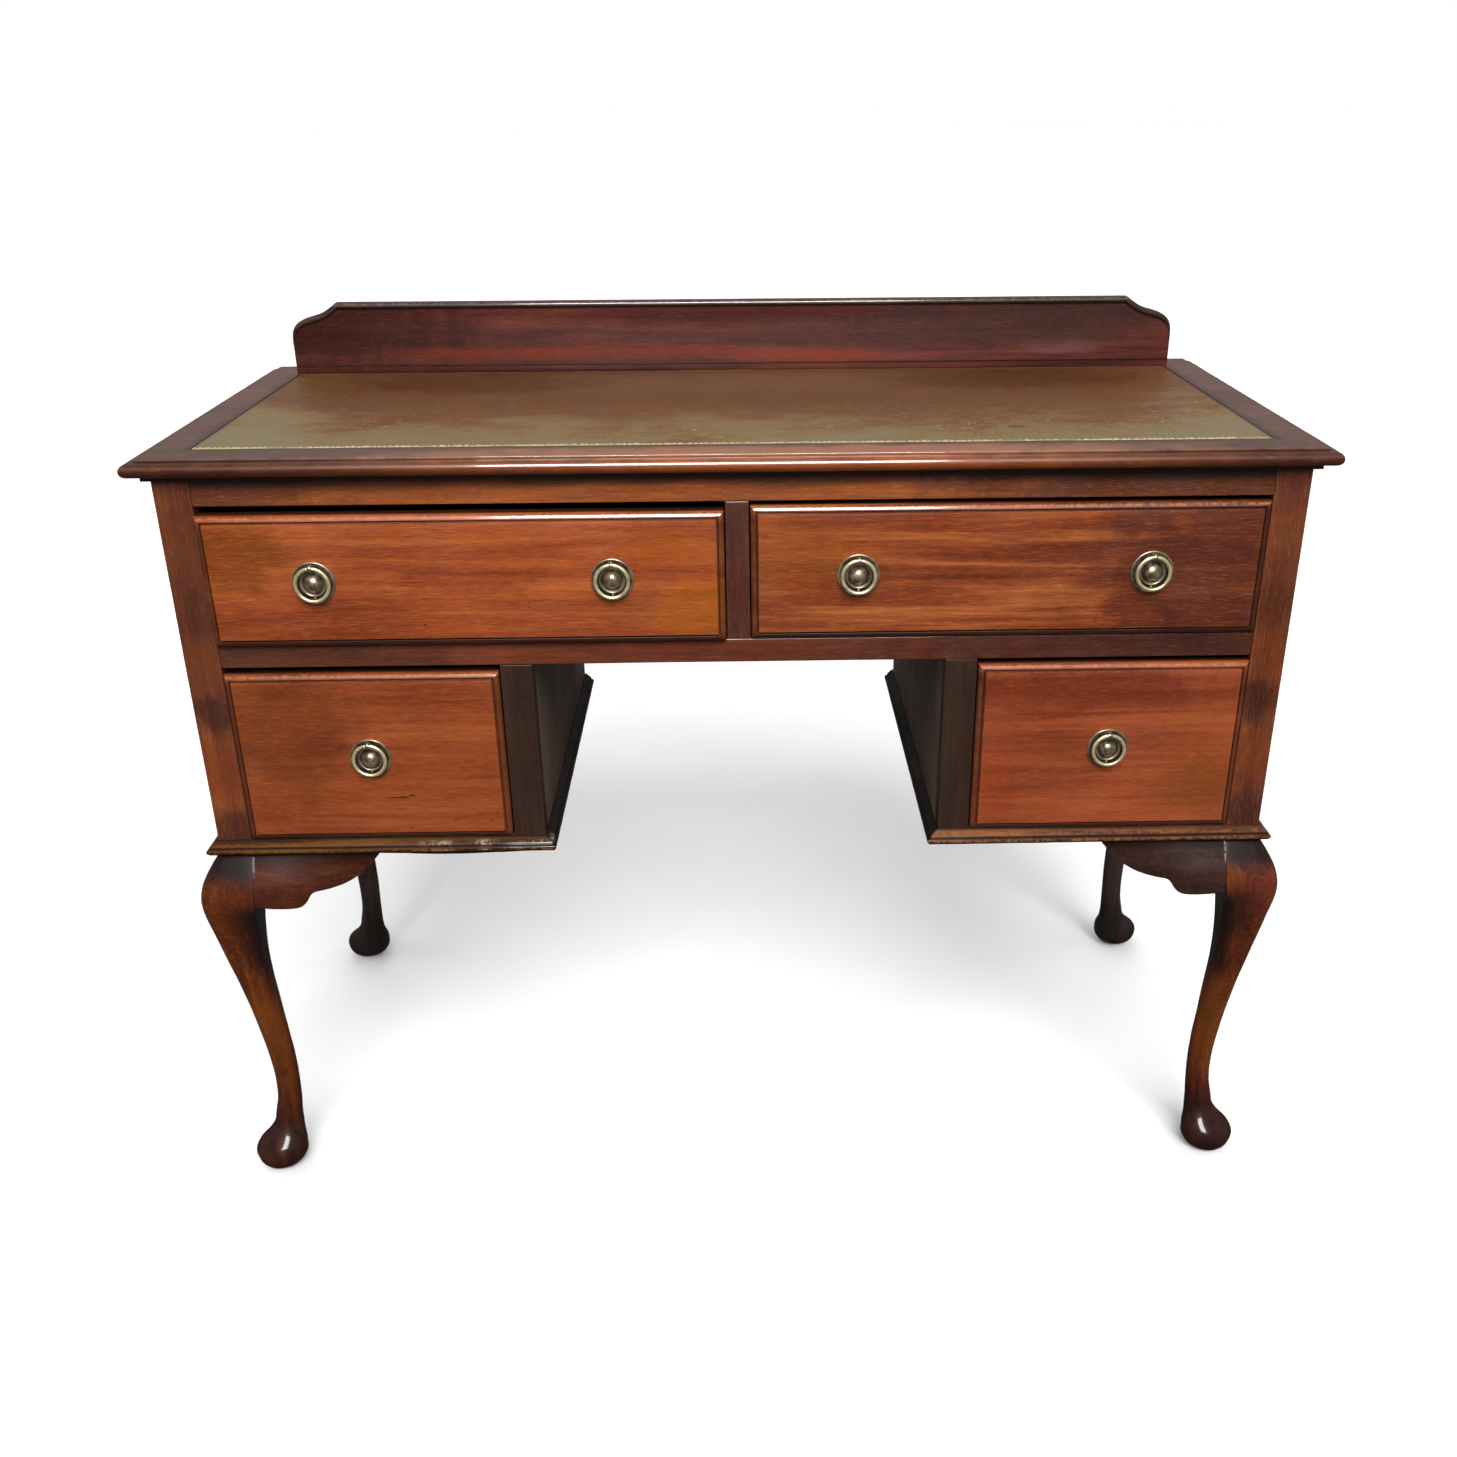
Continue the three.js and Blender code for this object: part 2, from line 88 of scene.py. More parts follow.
def near(value, centre, width):
    """1 at centre, fading to 0 about width away."""
    return math.exp(-(((value - centre) / width) ** 2))


def arc(cx, cy, radius, start, end, count):
    """Points of an arc, with its angles in degrees."""
    angles = [math.radians(a) for a in steps(start, end, count)]
    return [(cx + radius * math.cos(a), cy + radius * math.sin(a)) for a in angles]


def curve_through(points):
    """A smooth function of the first number of each point, giving the others."""
    xs = [p[0] for p in points]
    rows = [p[1:] for p in points]

    def slope(i, k):
        a, b = max(i - 1, 0), min(i + 1, len(xs) - 1)
        return (rows[b][k] - rows[a][k]) / (xs[b] - xs[a])

    def at(x):
        i = max(j for j in range(len(xs) - 1) if xs[j] <= x or j == 0)
        width = xs[i + 1] - xs[i]
        t = (x - xs[i]) / width
        out = []
        for k in range(len(rows[0])):
            a, b = rows[i][k], rows[i + 1][k]
            ma, mb = slope(i, k) * width, slope(i + 1, k) * width
            hermite = (2 * t**3 - 3 * t**2 + 1) * a + (t**3 - 2 * t**2 + t) * ma
            out.append(hermite + (-2 * t**3 + 3 * t**2) * b + (t**3 - t**2) * mb)
        return out

    return at


# -------- mesh making


def surface(name, patches, fans=(), sharp=32):
    """A mesh from patches, each a grid of points, and fans, each a loop closed round its middle."""
    points, faces = [], []
    for rows in patches:
        base, width = len(points), len(rows[0])
        points += [p for row in rows for p in row]
        for r in range(len(rows) - 1):
            for c in range(width - 1):
                a = base + r * width + c
                faces.append((a, a + 1, a + width + 1, a + width))
    for loop in fans:
        base = len(points)
        points += list(loop) + [sum(loop, Vector()) / len(loop)]
        middle = base + len(loop)
        faces += [(base + i, base + (i + 1) % len(loop), middle) for i in range(len(loop))]
    mesh = bpy.data.meshes.new(name)
    mesh.from_pydata(points, [], faces)
    clean(mesh)
    mesh.shade_smooth()
    mesh.set_sharp_from_angle(angle=math.radians(sharp))
    made = bpy.data.objects.new(name, mesh)
    bpy.context.scene.collection.objects.link(made)
    return made


def clean(mesh):
    """Joins points that meet, drops what has no area and turns every face outwards."""
    work = bmesh.new()
    work.from_mesh(mesh)
    bmesh.ops.remove_doubles(work, verts=work.verts, dist=2e-6)
    bmesh.ops.dissolve_degenerate(work, edges=work.edges, dist=1e-6)
    bmesh.ops.recalc_face_normals(work, faces=work.faces)
    work.to_mesh(mesh)
    work.free()


def lofted(name, rings, sharp=32):
    """A closed solid through rings of points."""
    rows = [list(ring) + [ring[0]] for ring in rings]
    return surface(name, [rows], [rings[0], rings[-1]], sharp)


def weather(piece, amount, size=0.05, seed=0.0):
    """Moves the surface in and out a little, as handwork and long use leave it."""
    mesh = piece.data
    shift = Vector((seed, seed * 0.7, -seed))
    spots = [vertex.co / size + shift for vertex in mesh.vertices]
    moves = [n.vector * amount * noise.noise(spot) for spot, n in zip(spots, mesh.vertex_normals)]
    for vertex, move in zip(mesh.vertices, moves):
        vertex.co += move
    mesh.update()


def paint(piece, **marks):
    """Stores, from functions of its place, how worn and soiled each point is and how much painted shade and
    painted sheen it carries.
    """
    for name, value in marks.items():
        layer = piece.data.attributes.new(name, "FLOAT", "POINT")
        layer.data.foreach_set("value", [min(max(value(v.co), 0), 1) for v in piece.data.vertices])


def finish_piece(piece, material, *nodes, body="carcass", slot="frame"):
    """Gives a piece its material and its body, and says which CAD nodes it replaces; slot is not used."""
    piece.data.materials.append(material)
    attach(piece, body)
    if nodes:
        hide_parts(*nodes)
    return piece


def board_stations(low, high, radius, pitch):
    """Places along one side of a board: close together at its rounded edges, even between them."""
    inset = [0, 0.25 * radius, 0.6 * radius, radius, 3 * radius]
    if high - low < 8 * radius:
        inset = [0, 0.25 * radius, 0.6 * radius, radius]
    start, end = low + inset[-1], high - inset[-1]
    middle = steps(start, end, max(2, round((end - start) / pitch)))
    return [low + i for i in inset[:-1]] + middle + [high - i for i in reversed(inset[:-1])]


def edge_distance(point, low, high):
    """How far a point on a board's surface is from the board's nearest edge."""
    gaps = sorted(min(point[k] - low[k], high[k] - point[k]) for k in range(3))
    return gaps[1]


def board(name, node, pitch=PITCH, seed=0.0, grime=lambda p: 0):
    """A board with softened edges in the place of a CAD board."""
    radius = 0.9 * MM
    low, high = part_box(node)
    stations = [board_stations(low[k], high[k], radius, pitch) for k in range(3)]
    patches = []
    for k in range(3):
        u, v = (k + 1) % 3, (k + 2) % 3
        for side in (low[k], high[k]):
            rows = []
            for a in stations[u]:
                row = []
                for b in stations[v]:
                    point = Vector((0, 0, 0))
                    point[k], point[u], point[v] = side, a, b
                    row.append(rounded(point, low, high, radius))
                rows.append(row)
            patches.append(rows)
    piece = surface(name, patches, sharp=60)

    def wear(p):
        return math.exp(-edge_distance(p, low, high) / (2.2 * MM))

    paint(piece, wear=wear, grime=grime)
    weather(piece, 0.12 * MM, 0.06, seed)
    return piece


def rounded(point, low, high, radius):
    """Pulls a point on a box in to the box's rounded edges and corners."""
    core = Vector(min(max(point[k], low[k] + radius), high[k] - radius) for k in range(3))
    offset = point - core
    return core + offset.normalized() * radius


# -------- materials


def on_front(y, *spots, depth=0.1):
    """Patches of colour on a board's front, from (x, z), (half width, half height), tint, strength."""
    return [
        ((x, y, z), (wide, depth, high), tint, strength)
        for (x, z), (wide, high), tint, strength in spots
    ]


def colour(code):
    """A colour written as six hex digits, as the linear numbers that the shader wants."""
    parts = [int(code[i : i + 2], 16) / 255 for i in (0, 2, 4)]
    return tuple(p / 12.92 if p <= 0.04045 else ((p + 0.055) / 1.055) ** 2.4 for p in parts) + (1,)


class Graph:
    """A material's nodes, or the world's, and short calls that add to them."""

    def __init__(self, owner):
        owner.use_nodes = True
        self.tree = owner.node_tree
        self.tree.nodes.clear()

    def put(self, socket, value):
        if isinstance(value, bpy.types.NodeSocket):
            self.tree.links.new(value, socket)
        else:
            socket.default_value = value

    def node(self, kind, values=None, **settings):
        made = self.tree.nodes.new(kind)
        for key, value in settings.items():
            setattr(made, key, value)
        for socket, value in (values or {}).items():
            self.put(made.inputs[socket], value)
        return made


class Material(Graph):
    """A material made round one shader, which looks things up by their place on the object."""

    def __init__(self, name):
        self.material = bpy.data.materials.new(name)
        super().__init__(self.material)
        self.shader = self.node("ShaderNodeBsdfPrincipled")
        self.node("ShaderNodeOutputMaterial", {0: self.shader.outputs[0]})
        self.place = self.node("ShaderNodeTexCoord").outputs["Object"]

    def set(self, **values):
        for name, value in values.items():
            self.put(self.shader.inputs[name.replace("_", " ")], value)

    def noise(self, scale, seed=0.0, detail=2.0, roughness=0.5, distortion=0.0):
        """Noise over the object's own place. Its scale is one number, or one for each axis."""
        scales = scale if isinstance(scale, tuple) else (scale, scale, scale)
        shift = (seed, seed * 1.7, seed * 0.6)
        values = {"Vector": self.multiply_add(self.place, scales, shift), "Scale": 1.0}
        values.update({"Detail": detail, "Roughness": roughness, "Distortion": distortion})
        return self.node("ShaderNodeTexNoise", values).outputs["Fac"]

    def multiply_add(self, vector, factor, shift):
        values = {0: vector, 1: factor, 2: shift}
        return self.node("ShaderNodeVectorMath", values, operation="MULTIPLY_ADD").outputs[0]

    def math(self, operation, a, b=0.0):
        return self.node("ShaderNodeMath", {0: a, 1: b}, operation=operation).outputs[0]

    def times(self, a, b):
        return self.math("MULTIPLY", a, b)

    def blend(self, *parts):
        """0.5 plus how far each part is from 0.5, times its weight."""
        total = 0.5 - 0.5 * sum(weight for _, weight in parts)
        for value, weight in parts:
            values = {0: value, 1: weight, 2: total}
            total = self.node("ShaderNodeMath", values, operation="MULTIPLY_ADD").outputs[0]
        return total

    def ramp(self, value, low, high, out_low=0.0, out_high=1.0):
        values = {0: value, 1: low, 2: high, 3: out_low, 4: out_high}
        made = self.node("ShaderNodeMapRange", values, clamp=True, interpolation_type="SMOOTHSTEP")
        return made.outputs[0]

    def colours(self, value, *stops):
        made = self.node("ShaderNodeValToRGB", {0: value})
        elements = made.color_ramp.elements
        while len(elements) < len(stops):
            elements.new(0.5)
        for element, (position, tone) in zip(elements, stops):
            element.position = position
            element.color = tone
        return made.outputs[0]

    def mix(self, factor, a, b, blend="MIX"):
        made = self.node("ShaderNodeMix", {0: factor, 6: a, 7: b}, data_type="RGBA", blend_type=blend)
        return made.outputs[2]

    def cover(self, base, tint, amount):
        """Lays a plain tint over a base colour."""
        return self.mix(amount, base, colour(tint))

    def bump(self, height, strength, distance):
        values = {"Strength": strength, "Distance": distance, "Height": height}
        return self.node("ShaderNodeBump", values).outputs[0]

    def mark(self, name):
        return self.node("ShaderNodeAttribute", attribute_name=name).outputs["Fac"]

    def reach(self, centre, size):
        """How far a point is from centre, where 1 is the edge of an ellipsoid of that size."""
        inverse = tuple(1 / s for s in size)
        shift = tuple(-c / s for c, s in zip(centre, size))
        inside = self.multiply_add(self.place, inverse, shift)
        return self.node("ShaderNodeVectorMath", {0: inside}, operation="LENGTH").outputs["Value"]

    def patch(self, centre, size):
        """1 in the middle of a soft, ragged region of the object, 0 outside it."""
        ragged = self.noise(40, sum(centre), 3)
        return self.ramp(self.blend((self.reach(centre, size), 1.0), (ragged, 0.9)), 1.0, 0.35)


def along(axis, fine, long):
    """A scale for a texture that is drawn out along one axis."""
    return tuple(long if k == "XYZ".index(axis) else fine for k in range(3))


def wood(
    name, tones, grain="X", seed=0.0, figure=0.5, worn="8a5024", wear=0.3, dirt_and_shade_tone="1c120e", patches=(),
    nicks=(), rim=None, chips="b3a498", coat=0.6, coat_roughness=0.08, roughness=(0.36, 0.52), gloss=0.18,
):
    """Polished mahogany: ribbon figure, streaks, flecks and pores, with worn spots, painted sheen, dirt and
    painted shade on top.
    """
    g = Material(name)
    dark, middle, light = (colour(tone) for tone in tones)
    glint = tuple(0.28 * part for part in light)
    ribbon = g.noise(along(grain, 62, 3.6), seed, 3, 0.5, 0.7)
    streak = g.noise(along(grain, 320, 11), seed + 3, 2, 0.6)
    cloud = g.noise(along(grain, 12, 7), seed + 7, 2)
    fleck = g.noise(along(grain, 720, 60), seed + 11, 2, 0.6)
    pore = g.noise(along(grain, 1500, 100), seed + 13, 1)
    tone = g.blend((ribbon, figure), (streak, 0.35), (cloud, 0.4), (fleck, 0.18))
    base = g.colours(tone, (0.28, dark), (0.5, middle), (0.72, light))
    if rim:
        base = g.mix(g.mark("rim"), base, g.colours(tone, (0.3, colour(rim[0])), (0.65, colour(rim[1]))))
    for centre, size, tint, strength in patches:
        inside = g.times(g.patch(centre, size), strength)
        base = g.mix(inside, base, g.mix(0.5, colour(tint), g.mix(1.0, base, colour(tint), "OVERLAY")))
    pores = g.ramp(pore, 0.6, 0.7, 0.0, 0.45)
    base = g.mix(pores, base, g.mix(0.75, base, colour("160a06")))
    base = g.mix(g.ramp(pore, 0.41, 0.3), base, glint, "ADD")
    rubbed = g.noise(240, seed + 17, 4, 0.65)
    worn_and_lit_here = g.times(g.mark("wear"), g.ramp(rubbed, 0.42, 0.62))
    # Worn spots and painted sheen take the worn colour; dirt and painted shade take the dark colour.
    base = g.cover(base, worn, g.times(worn_and_lit_here, wear))
    base = g.cover(base, dirt_and_shade_tone, g.mark("grime"))
    base = g.cover(base, chips, g.times(g.mark("chip"), g.ramp(rubbed, 0.44, 0.54)))
    for centre, size in nicks:
        base = g.cover(base, "1c0e08", g.ramp(g.reach(centre, size), 1.0, 0.5, 0.0, 0.85))
    smear = g.noise(18, seed + 23, 3)
    g.set(
        Base_Color=base,
        Roughness=g.ramp(g.math("ADD", smear, g.times(worn_and_lit_here, 0.3)), 0.35, 0.7, *roughness),
        Specular_IOR_Level=gloss,
        Coat_Weight=coat,
        Coat_Roughness=coat_roughness,
    )
    height = g.math("SUBTRACT", g.times(streak, 0.4), g.times(pores, 0.6))
    g.set(Normal=g.bump(height, 0.12, 0.4 * MM))
    return g.material


def bare_wood(name, dark, light, grain, seed):
    """Secondary wood inside the carcass: unpolished and dusty."""
    g = Material(name)
    rings = g.noise(along(grain, 70, 2.5), seed, 4, 0.6, 0.9)
    fine = g.noise(along(grain, 700, 30), seed + 5, 2)
    stain = g.noise(7, seed + 9, 3)
    tone = g.math("ADD", g.times(rings, 0.7), g.times(fine, 0.3))
    base = g.colours(tone, (0.35, colour(dark)), (0.65, colour(light)))
    base = g.cover(base, "5a4028", g.ramp(stain, 0.5, 0.75, 0.0, 0.5))
    roughness = g.ramp(rings, 0.3, 0.7, 0.62, 0.85)
    g.set(Base_Color=base, Roughness=roughness, Normal=g.bump(fine, 0.25, 0.5 * MM))
    return g.material


def leather():
    """The writing surface: olive leather rubbed brown, with painted reflection making it browner towards
    the back and paler at its ends, flaked in places, with a tooled gilt edge.
    """
    g = Material("olive_leather")
    blotch = g.noise((8, 12, 8), 2.0, 4, 0.6, 0.6)
    rub = g.noise((34, 44, 34), 5.0, 5, 0.7, 0.4)
    flake = g.noise((120, 160, 120), 9.0, 5, 0.78, 0.2)
    speck = g.noise((520, 620, 520), 13.0, 2, 0.6)
    pebble = g.node("ShaderNodeTexVoronoi", {"Vector": g.place, "Scale": 800.0}, feature="DISTANCE_TO_EDGE")
    grain = pebble.outputs["Distance"]
    apart = g.node("ShaderNodeSeparateXYZ", {0: g.place})
    # Painted reflection: the leather turns browner towards the back, where it would mirror the dark
    # gallery, and paler at its ends, where it would mirror the bright backdrop.
    depth = g.ramp(apart.outputs["Y"], LEATHER_LOW.y - 60 * MM, LEATHER_HIGH.y - 60 * MM)
    ends = g.ramp(g.math("ABSOLUTE", apart.outputs["X"]), 0.36, 0.48)
    brown = g.blend((depth, 0.8), (blotch, 0.9), (rub, 0.5), (ends, -0.25))
    tones = ((0.15, "7b6a4d"), (0.4, "7a603a"), (0.62, "6c4322"), (0.9, "623c1e"))
    base = g.colours(brown, *((position, colour(tone)) for position, tone in tones))
    for x in (-0.28, 0.3):
        corner = g.patch((x, LEATHER_HIGH.y - 70 * MM, LEATHER_HIGH.z), (0.18, 0.09, 0.1))
        base = g.cover(base, "4e2608", g.times(corner, 0.9))
    clusters = g.times(g.ramp(blotch, 0.44, 0.62, 0.1, 1.0), g.ramp(brown, 0.9, 0.6, 0.4, 1.0))
    flaked = g.times(g.ramp(flake, 0.58, 0.65), clusters)
    base = g.cover(base, "bba562", g.times(flaked, 0.85))
    specks = g.times(g.ramp(speck, 0.56, 0.7), g.ramp(brown, 0.75, 0.4, 0.05, 0.3))
    base = g.cover(base, "b9ab78", specks)
    base = g.cover(base, "33241a", g.ramp(speck, 0.45, 0.3, 0.0, 0.3))
    base = g.cover(base, "c4b27e", gilt_line(g, apart))
    base = g.cover(base, "2a1d12", g.mark("grime"))
    for x, y, across, deep in ((0.13, -0.13, 4, 3), (0.262, -0.135, 11, 5)):
        scuff = g.reach((x, y, LEATHER_HIGH.z), (across * MM, deep * MM, 10 * MM))
        base = g.cover(base, "2c2218", g.ramp(scuff, 1.0, 0.4, 0.0, 0.7))
    height = g.math("SUBTRACT", grain, g.times(flaked, 0.25))
    g.set(
        Base_Color=base,
        Roughness=g.ramp(g.math("ADD", rub, flaked), 0.3, 1.1, 0.34, 0.62),
        Specular_IOR_Level=0.2,
        Coat_Weight=0.12,
        Coat_Roughness=0.32,
        Normal=g.bump(height, 0.2, 0.3 * MM),
    )
    return g.material


def gilt_line(g, apart):
    """A worn gilt line with fine teeth on its inner side, tooled near the leather's front edge."""
    uneven = g.times(g.noise(90, 31.0, 2), 14 * MM)
    tooth = g.math("PINGPONG", g.math("ADD", apart.outputs["X"], uneven), 2.8 * MM)
    jagged = g.times(g.noise(240, 21.0, 3, 0.6), 12 * MM)
    reach = g.math("ADD", g.times(tooth, 2.0), g.math("SUBTRACT", jagged, 7 * MM))
    inside = g.math("SUBTRACT", apart.outputs["Y"], LEATHER_LOW.y + LINE_INSET - 3 * MM)
    line = g.ramp(g.math("SUBTRACT", inside, reach), 4.6 * MM, 2.6 * MM)
    kept = g.ramp(g.noise(26, 27.0, 4, 0.7), 0.36, 0.52, 0.35, 1.0)
    return g.times(g.times(line, g.ramp(inside, -0.4 * MM, 0.4 * MM)), kept)


def metal(name, bright, dull, tarnish, roughness, seed):
    """Old lacquered brass: dull in its hollows, brighter where fingers rub it."""
    g = Material(name)
    cloud = g.noise(160, seed, 4, 0.6)
    speck = g.noise(900, seed + 4, 2)
    base = g.colours(cloud, (0.36, colour(dull)), (0.62, colour(bright)))
    base = g.cover(base, bright, g.times(g.mark("wear"), 0.85))
    base = g.cover(base, tarnish, g.ramp(speck, 0.6, 0.75, 0.0, 0.35))
    base = g.cover(base, tarnish, g.mark("grime"))
    g.set(
        Base_Color=base,
        Metallic=0.6,
        Roughness=g.ramp(cloud, 0.3, 0.7, *roughness),
        Coat_Weight=0.5,
        Coat_Roughness=0.12,
        Normal=g.bump(cloud, 0.12, 0.1 * MM),
    )
    return g.material


def pale_floor():
    """The floor: nearly white, with a faint change of tone."""
    g = Material("pale_floor")
    tone = g.colours(g.noise(3), (0.4, colour("f3f3f2")), (0.6, colour("f6f6f5")))
    g.set(Base_Color=tone, Roughness=0.8)
    return g.material


# -------- top and gallery


def rectangle_loop(half, front, back, z):
    """A level loop round the top, with the same number of points whatever its size."""
    across, deep = round(2 * HALF_WIDTH / PITCH), round((BACK - FRONT) / PITCH)
    corners = [(-half, front), (half, front), (half, back), (-half, back)]
    loop = []
    for i, count in enumerate((across, deep, across, deep)):
        (x0, y0), (x1, y1) = corners[i], corners[(i + 1) % 4]
        loop += [Vector((between(x0, x1, j / count), between(y0, y1, j / count), z)) for j in range(count)]
    return loop


TOP_UNDER = TOP_LOW.z
WRITING_HEIGHT = TOP_HIGH.z
NOSE_RADIUS = 6 * MM
QUIRK_DEPTH = 2.5 * MM
FLAT_OVERHANG = 8.3 * MM
NOSE_REACH = TOP_HIGH.x - HALF_WIDTH - FLAT_OVERHANG - NOSE_RADIUS
FILLET_REACH = -2 * MM


def make_top():
    """The top board: small fillet, rounded nose and quirk round three sides, and a sunk panel."""
    quirk = WRITING_HEIGHT - QUIRK_DEPTH
    nose_height = quirk - NOSE_RADIUS
    flat_half, flat_front = HALF_WIDTH + FLAT_OVERHANG, FRONT - FLAT_OVERHANG
    nose = arc(NOSE_REACH, nose_height, NOSE_RADIUS, -90, 90, 20)
    fillet_top = quirk - 2 * NOSE_RADIUS
    section = [(FILLET_REACH - 12 * MM, TOP_UNDER), (FILLET_REACH, TOP_UNDER)]
    section += [(FILLET_REACH, between(TOP_UNDER, fillet_top, t)) for t in (0.1, 0.5, 0.85)]
    section += [(FILLET_REACH + 0.4 * MM, fillet_top)] + nose
    section += [(0.7 * MM, quirk + 0.05 * MM), (0.05 * MM, quirk + 0.4 * MM), (0, quirk + 0.9 * MM)]
    section += arc(-0.8 * MM, WRITING_HEIGHT - 0.8 * MM, 0.8 * MM, 0, 90, 4)
    rings = []
    for reach, z in section:
        overhang = FLAT_OVERHANG + reach
        rings.append(rectangle_loop(HALF_WIDTH + overhang, FRONT - overhang, TOP_HIGH.y, z))
    half, front, back = LEATHER_HIGH.x + GAP, LEATHER_LOW.y - GAP, LEATHER_HIGH.y + GAP
    for t in (0.3, 0.7):
        inwards = between(flat_half, half, t), between(flat_front, front, t), between(TOP_HIGH.y, back, t)
        rings.append(rectangle_loop(*inwards, WRITING_HEIGHT))
    recess = LEATHER_LOW.z - GAP
    for inset, z in ((-0.5 * MM, WRITING_HEIGHT), (0, WRITING_HEIGHT - 0.4 * MM), (0, recess)):
        rings.append(rectangle_loop(half - inset, front + inset, back - inset, z))
    piece = lofted("top_board_wood", rings)

    def outside(p):
        """How far a point lies beyond the edge of the flat, on whichever side is nearest."""
        return max(abs(p.x) - flat_half, flat_front - p.y)

    # Painted shade: darker in the quirk under the flat's edge, along the leather panel's edge and on the
    # fillet under the nose.
    def grime(p):
        in_quirk = near(outside(p), 0.6 * MM, 0.9 * MM) * near(p.z, quirk, 1.0 * MM)
        to_panel = max(abs(p.x) - half, front - p.y)
        beside_leather = near(to_panel, 0, 1.2 * MM) if p.y < back else 0
        fillet = smooth(0.5 * MM, -1 * MM, p.z - fillet_top)
        return 0.9 * in_quirk + 0.8 * beside_leather * (p.z > TOP_UNDER + 10 * MM) + 0.7 * fillet

    paint(
        piece,
        grime=grime,
        rim=lambda p: smooth(0, 1.5 * MM, outside(p)) * (p.z < quirk + 0.3 * MM),
        chip=lambda p: 0.45 * near(p.z, WRITING_HEIGHT, 0.4 * MM) * near(outside(p), 0, 0.4 * MM),
    )
    weather(piece, 0.12 * MM, 0.035, 1.3)
    top_wood = wood(
        "top_mahogany", ("48291c", "5e3a2a", "744c38"), grain="X", seed=4.1, figure=0.35,
        rim=("42200f", "743d19"), roughness=(0.34, 0.5), coat_roughness=0.07,
        patches=[
            # Painted sheen: the first patch lightens the middle of the flat's front border, the second
            # brightens the nose round its highlight.
            ((0.05, FRONT, WRITING_HEIGHT), (0.46, 0.035, 0.006), "c4865a", 0.9),
            ((0.03, FRONT, nose_height), (0.4, 0.05, 0.009), "b45e28", 0.8),
            ((-0.5, FRONT, nose_height), (0.26, 0.05, 0.012), "4a1c06", 0.85),
            ((0.52, FRONT, nose_height), (0.26, 0.05, 0.012), "52220a", 0.8),
        ],
    )
    finish_piece(piece, top_wood, "top_board")


def make_leather():
    """The leather: a thin skin, rolled down at its edges, with a tooled line near its front edge."""
    low, high = LEATHER_LOW, LEATHER_HIGH
    beside_line = [LINE_INSET + step * MM for step in (-1.2, -0.6, 0, 0.6, 1.2)]
    inset = [0, 0.4 * MM, 1.1 * MM, *beside_line, 8 * MM]
    even_from = 12 * MM

    def stations(start, end, count):
        middle = steps(start + even_from, end - even_from, count)
        return [start + i for i in inset] + middle + [end - i for i in reversed(inset)]

    xs, ys = stations(low.x, high.x, 150), stations(low.y, high.y, 60)

    def edge(x, y):
        return min(x - low.x, high.x - x, y - low.y, high.y - y)

    def height(x, y):
        rolled = 0.5 * MM * math.exp(-edge(x, y) / (0.5 * MM))
        pressed = 0.25 * MM * near(edge(x, y), LINE_INSET, 0.6 * MM)
        wave = 0.12 * MM * (noise.noise(Vector((x * 22, y * 22, 3.0))) - 1)
        return high.z - rolled - pressed + wave

    top = [[Vector((x, y, height(x, y))) for x in xs] for y in ys]
    under = [[Vector((x, y, low.z)) for x in xs] for y in ys]
    rim = [
        [top[0], under[0]],
        [top[-1], under[-1]],
        [[row[0] for row in top], [row[0] for row in under]],
        [[row[-1] for row in top], [row[-1] for row in under]],
    ]
    piece = surface("leather_skin", [top, under, *rim], sharp=50)
    # Painted shade along the leather's rolled edges, where they meet the panel's sides.
    paint(piece, grime=lambda p: 0.7 * math.exp(-edge(p.x, p.y) / (1.2 * MM)))
    finish_piece(piece, leather(), "writing_leather", slot="leather")


GALLERY_LOW, GALLERY_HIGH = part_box("gallery_board")
GALLERY_END = [
    (51, 0), (44, 5), (33, 11), (21, 14.5), (11, 18), (4, 24), (0.6, 32.5), (0, 44),
]


def gallery_path():
    """The gallery's top edge from its left end to its right, as (x, z)."""
    shape = curve_through([(i, *p) for i, p in enumerate(GALLERY_END)])
    ends = [shape(t) for t in steps(0, len(GALLERY_END) - 1, 42)]
    right = [(GALLERY_HIGH.x - inward * MM, GALLERY_HIGH.z - down * MM) for inward, down in ends]
    left = [(-x, z) for x, z in reversed(right)]
    middle = [(x, GALLERY_HIGH.z) for x in steps(left[-1][0], right[0][0], 96)[1:-1]]
    return left + middle + right


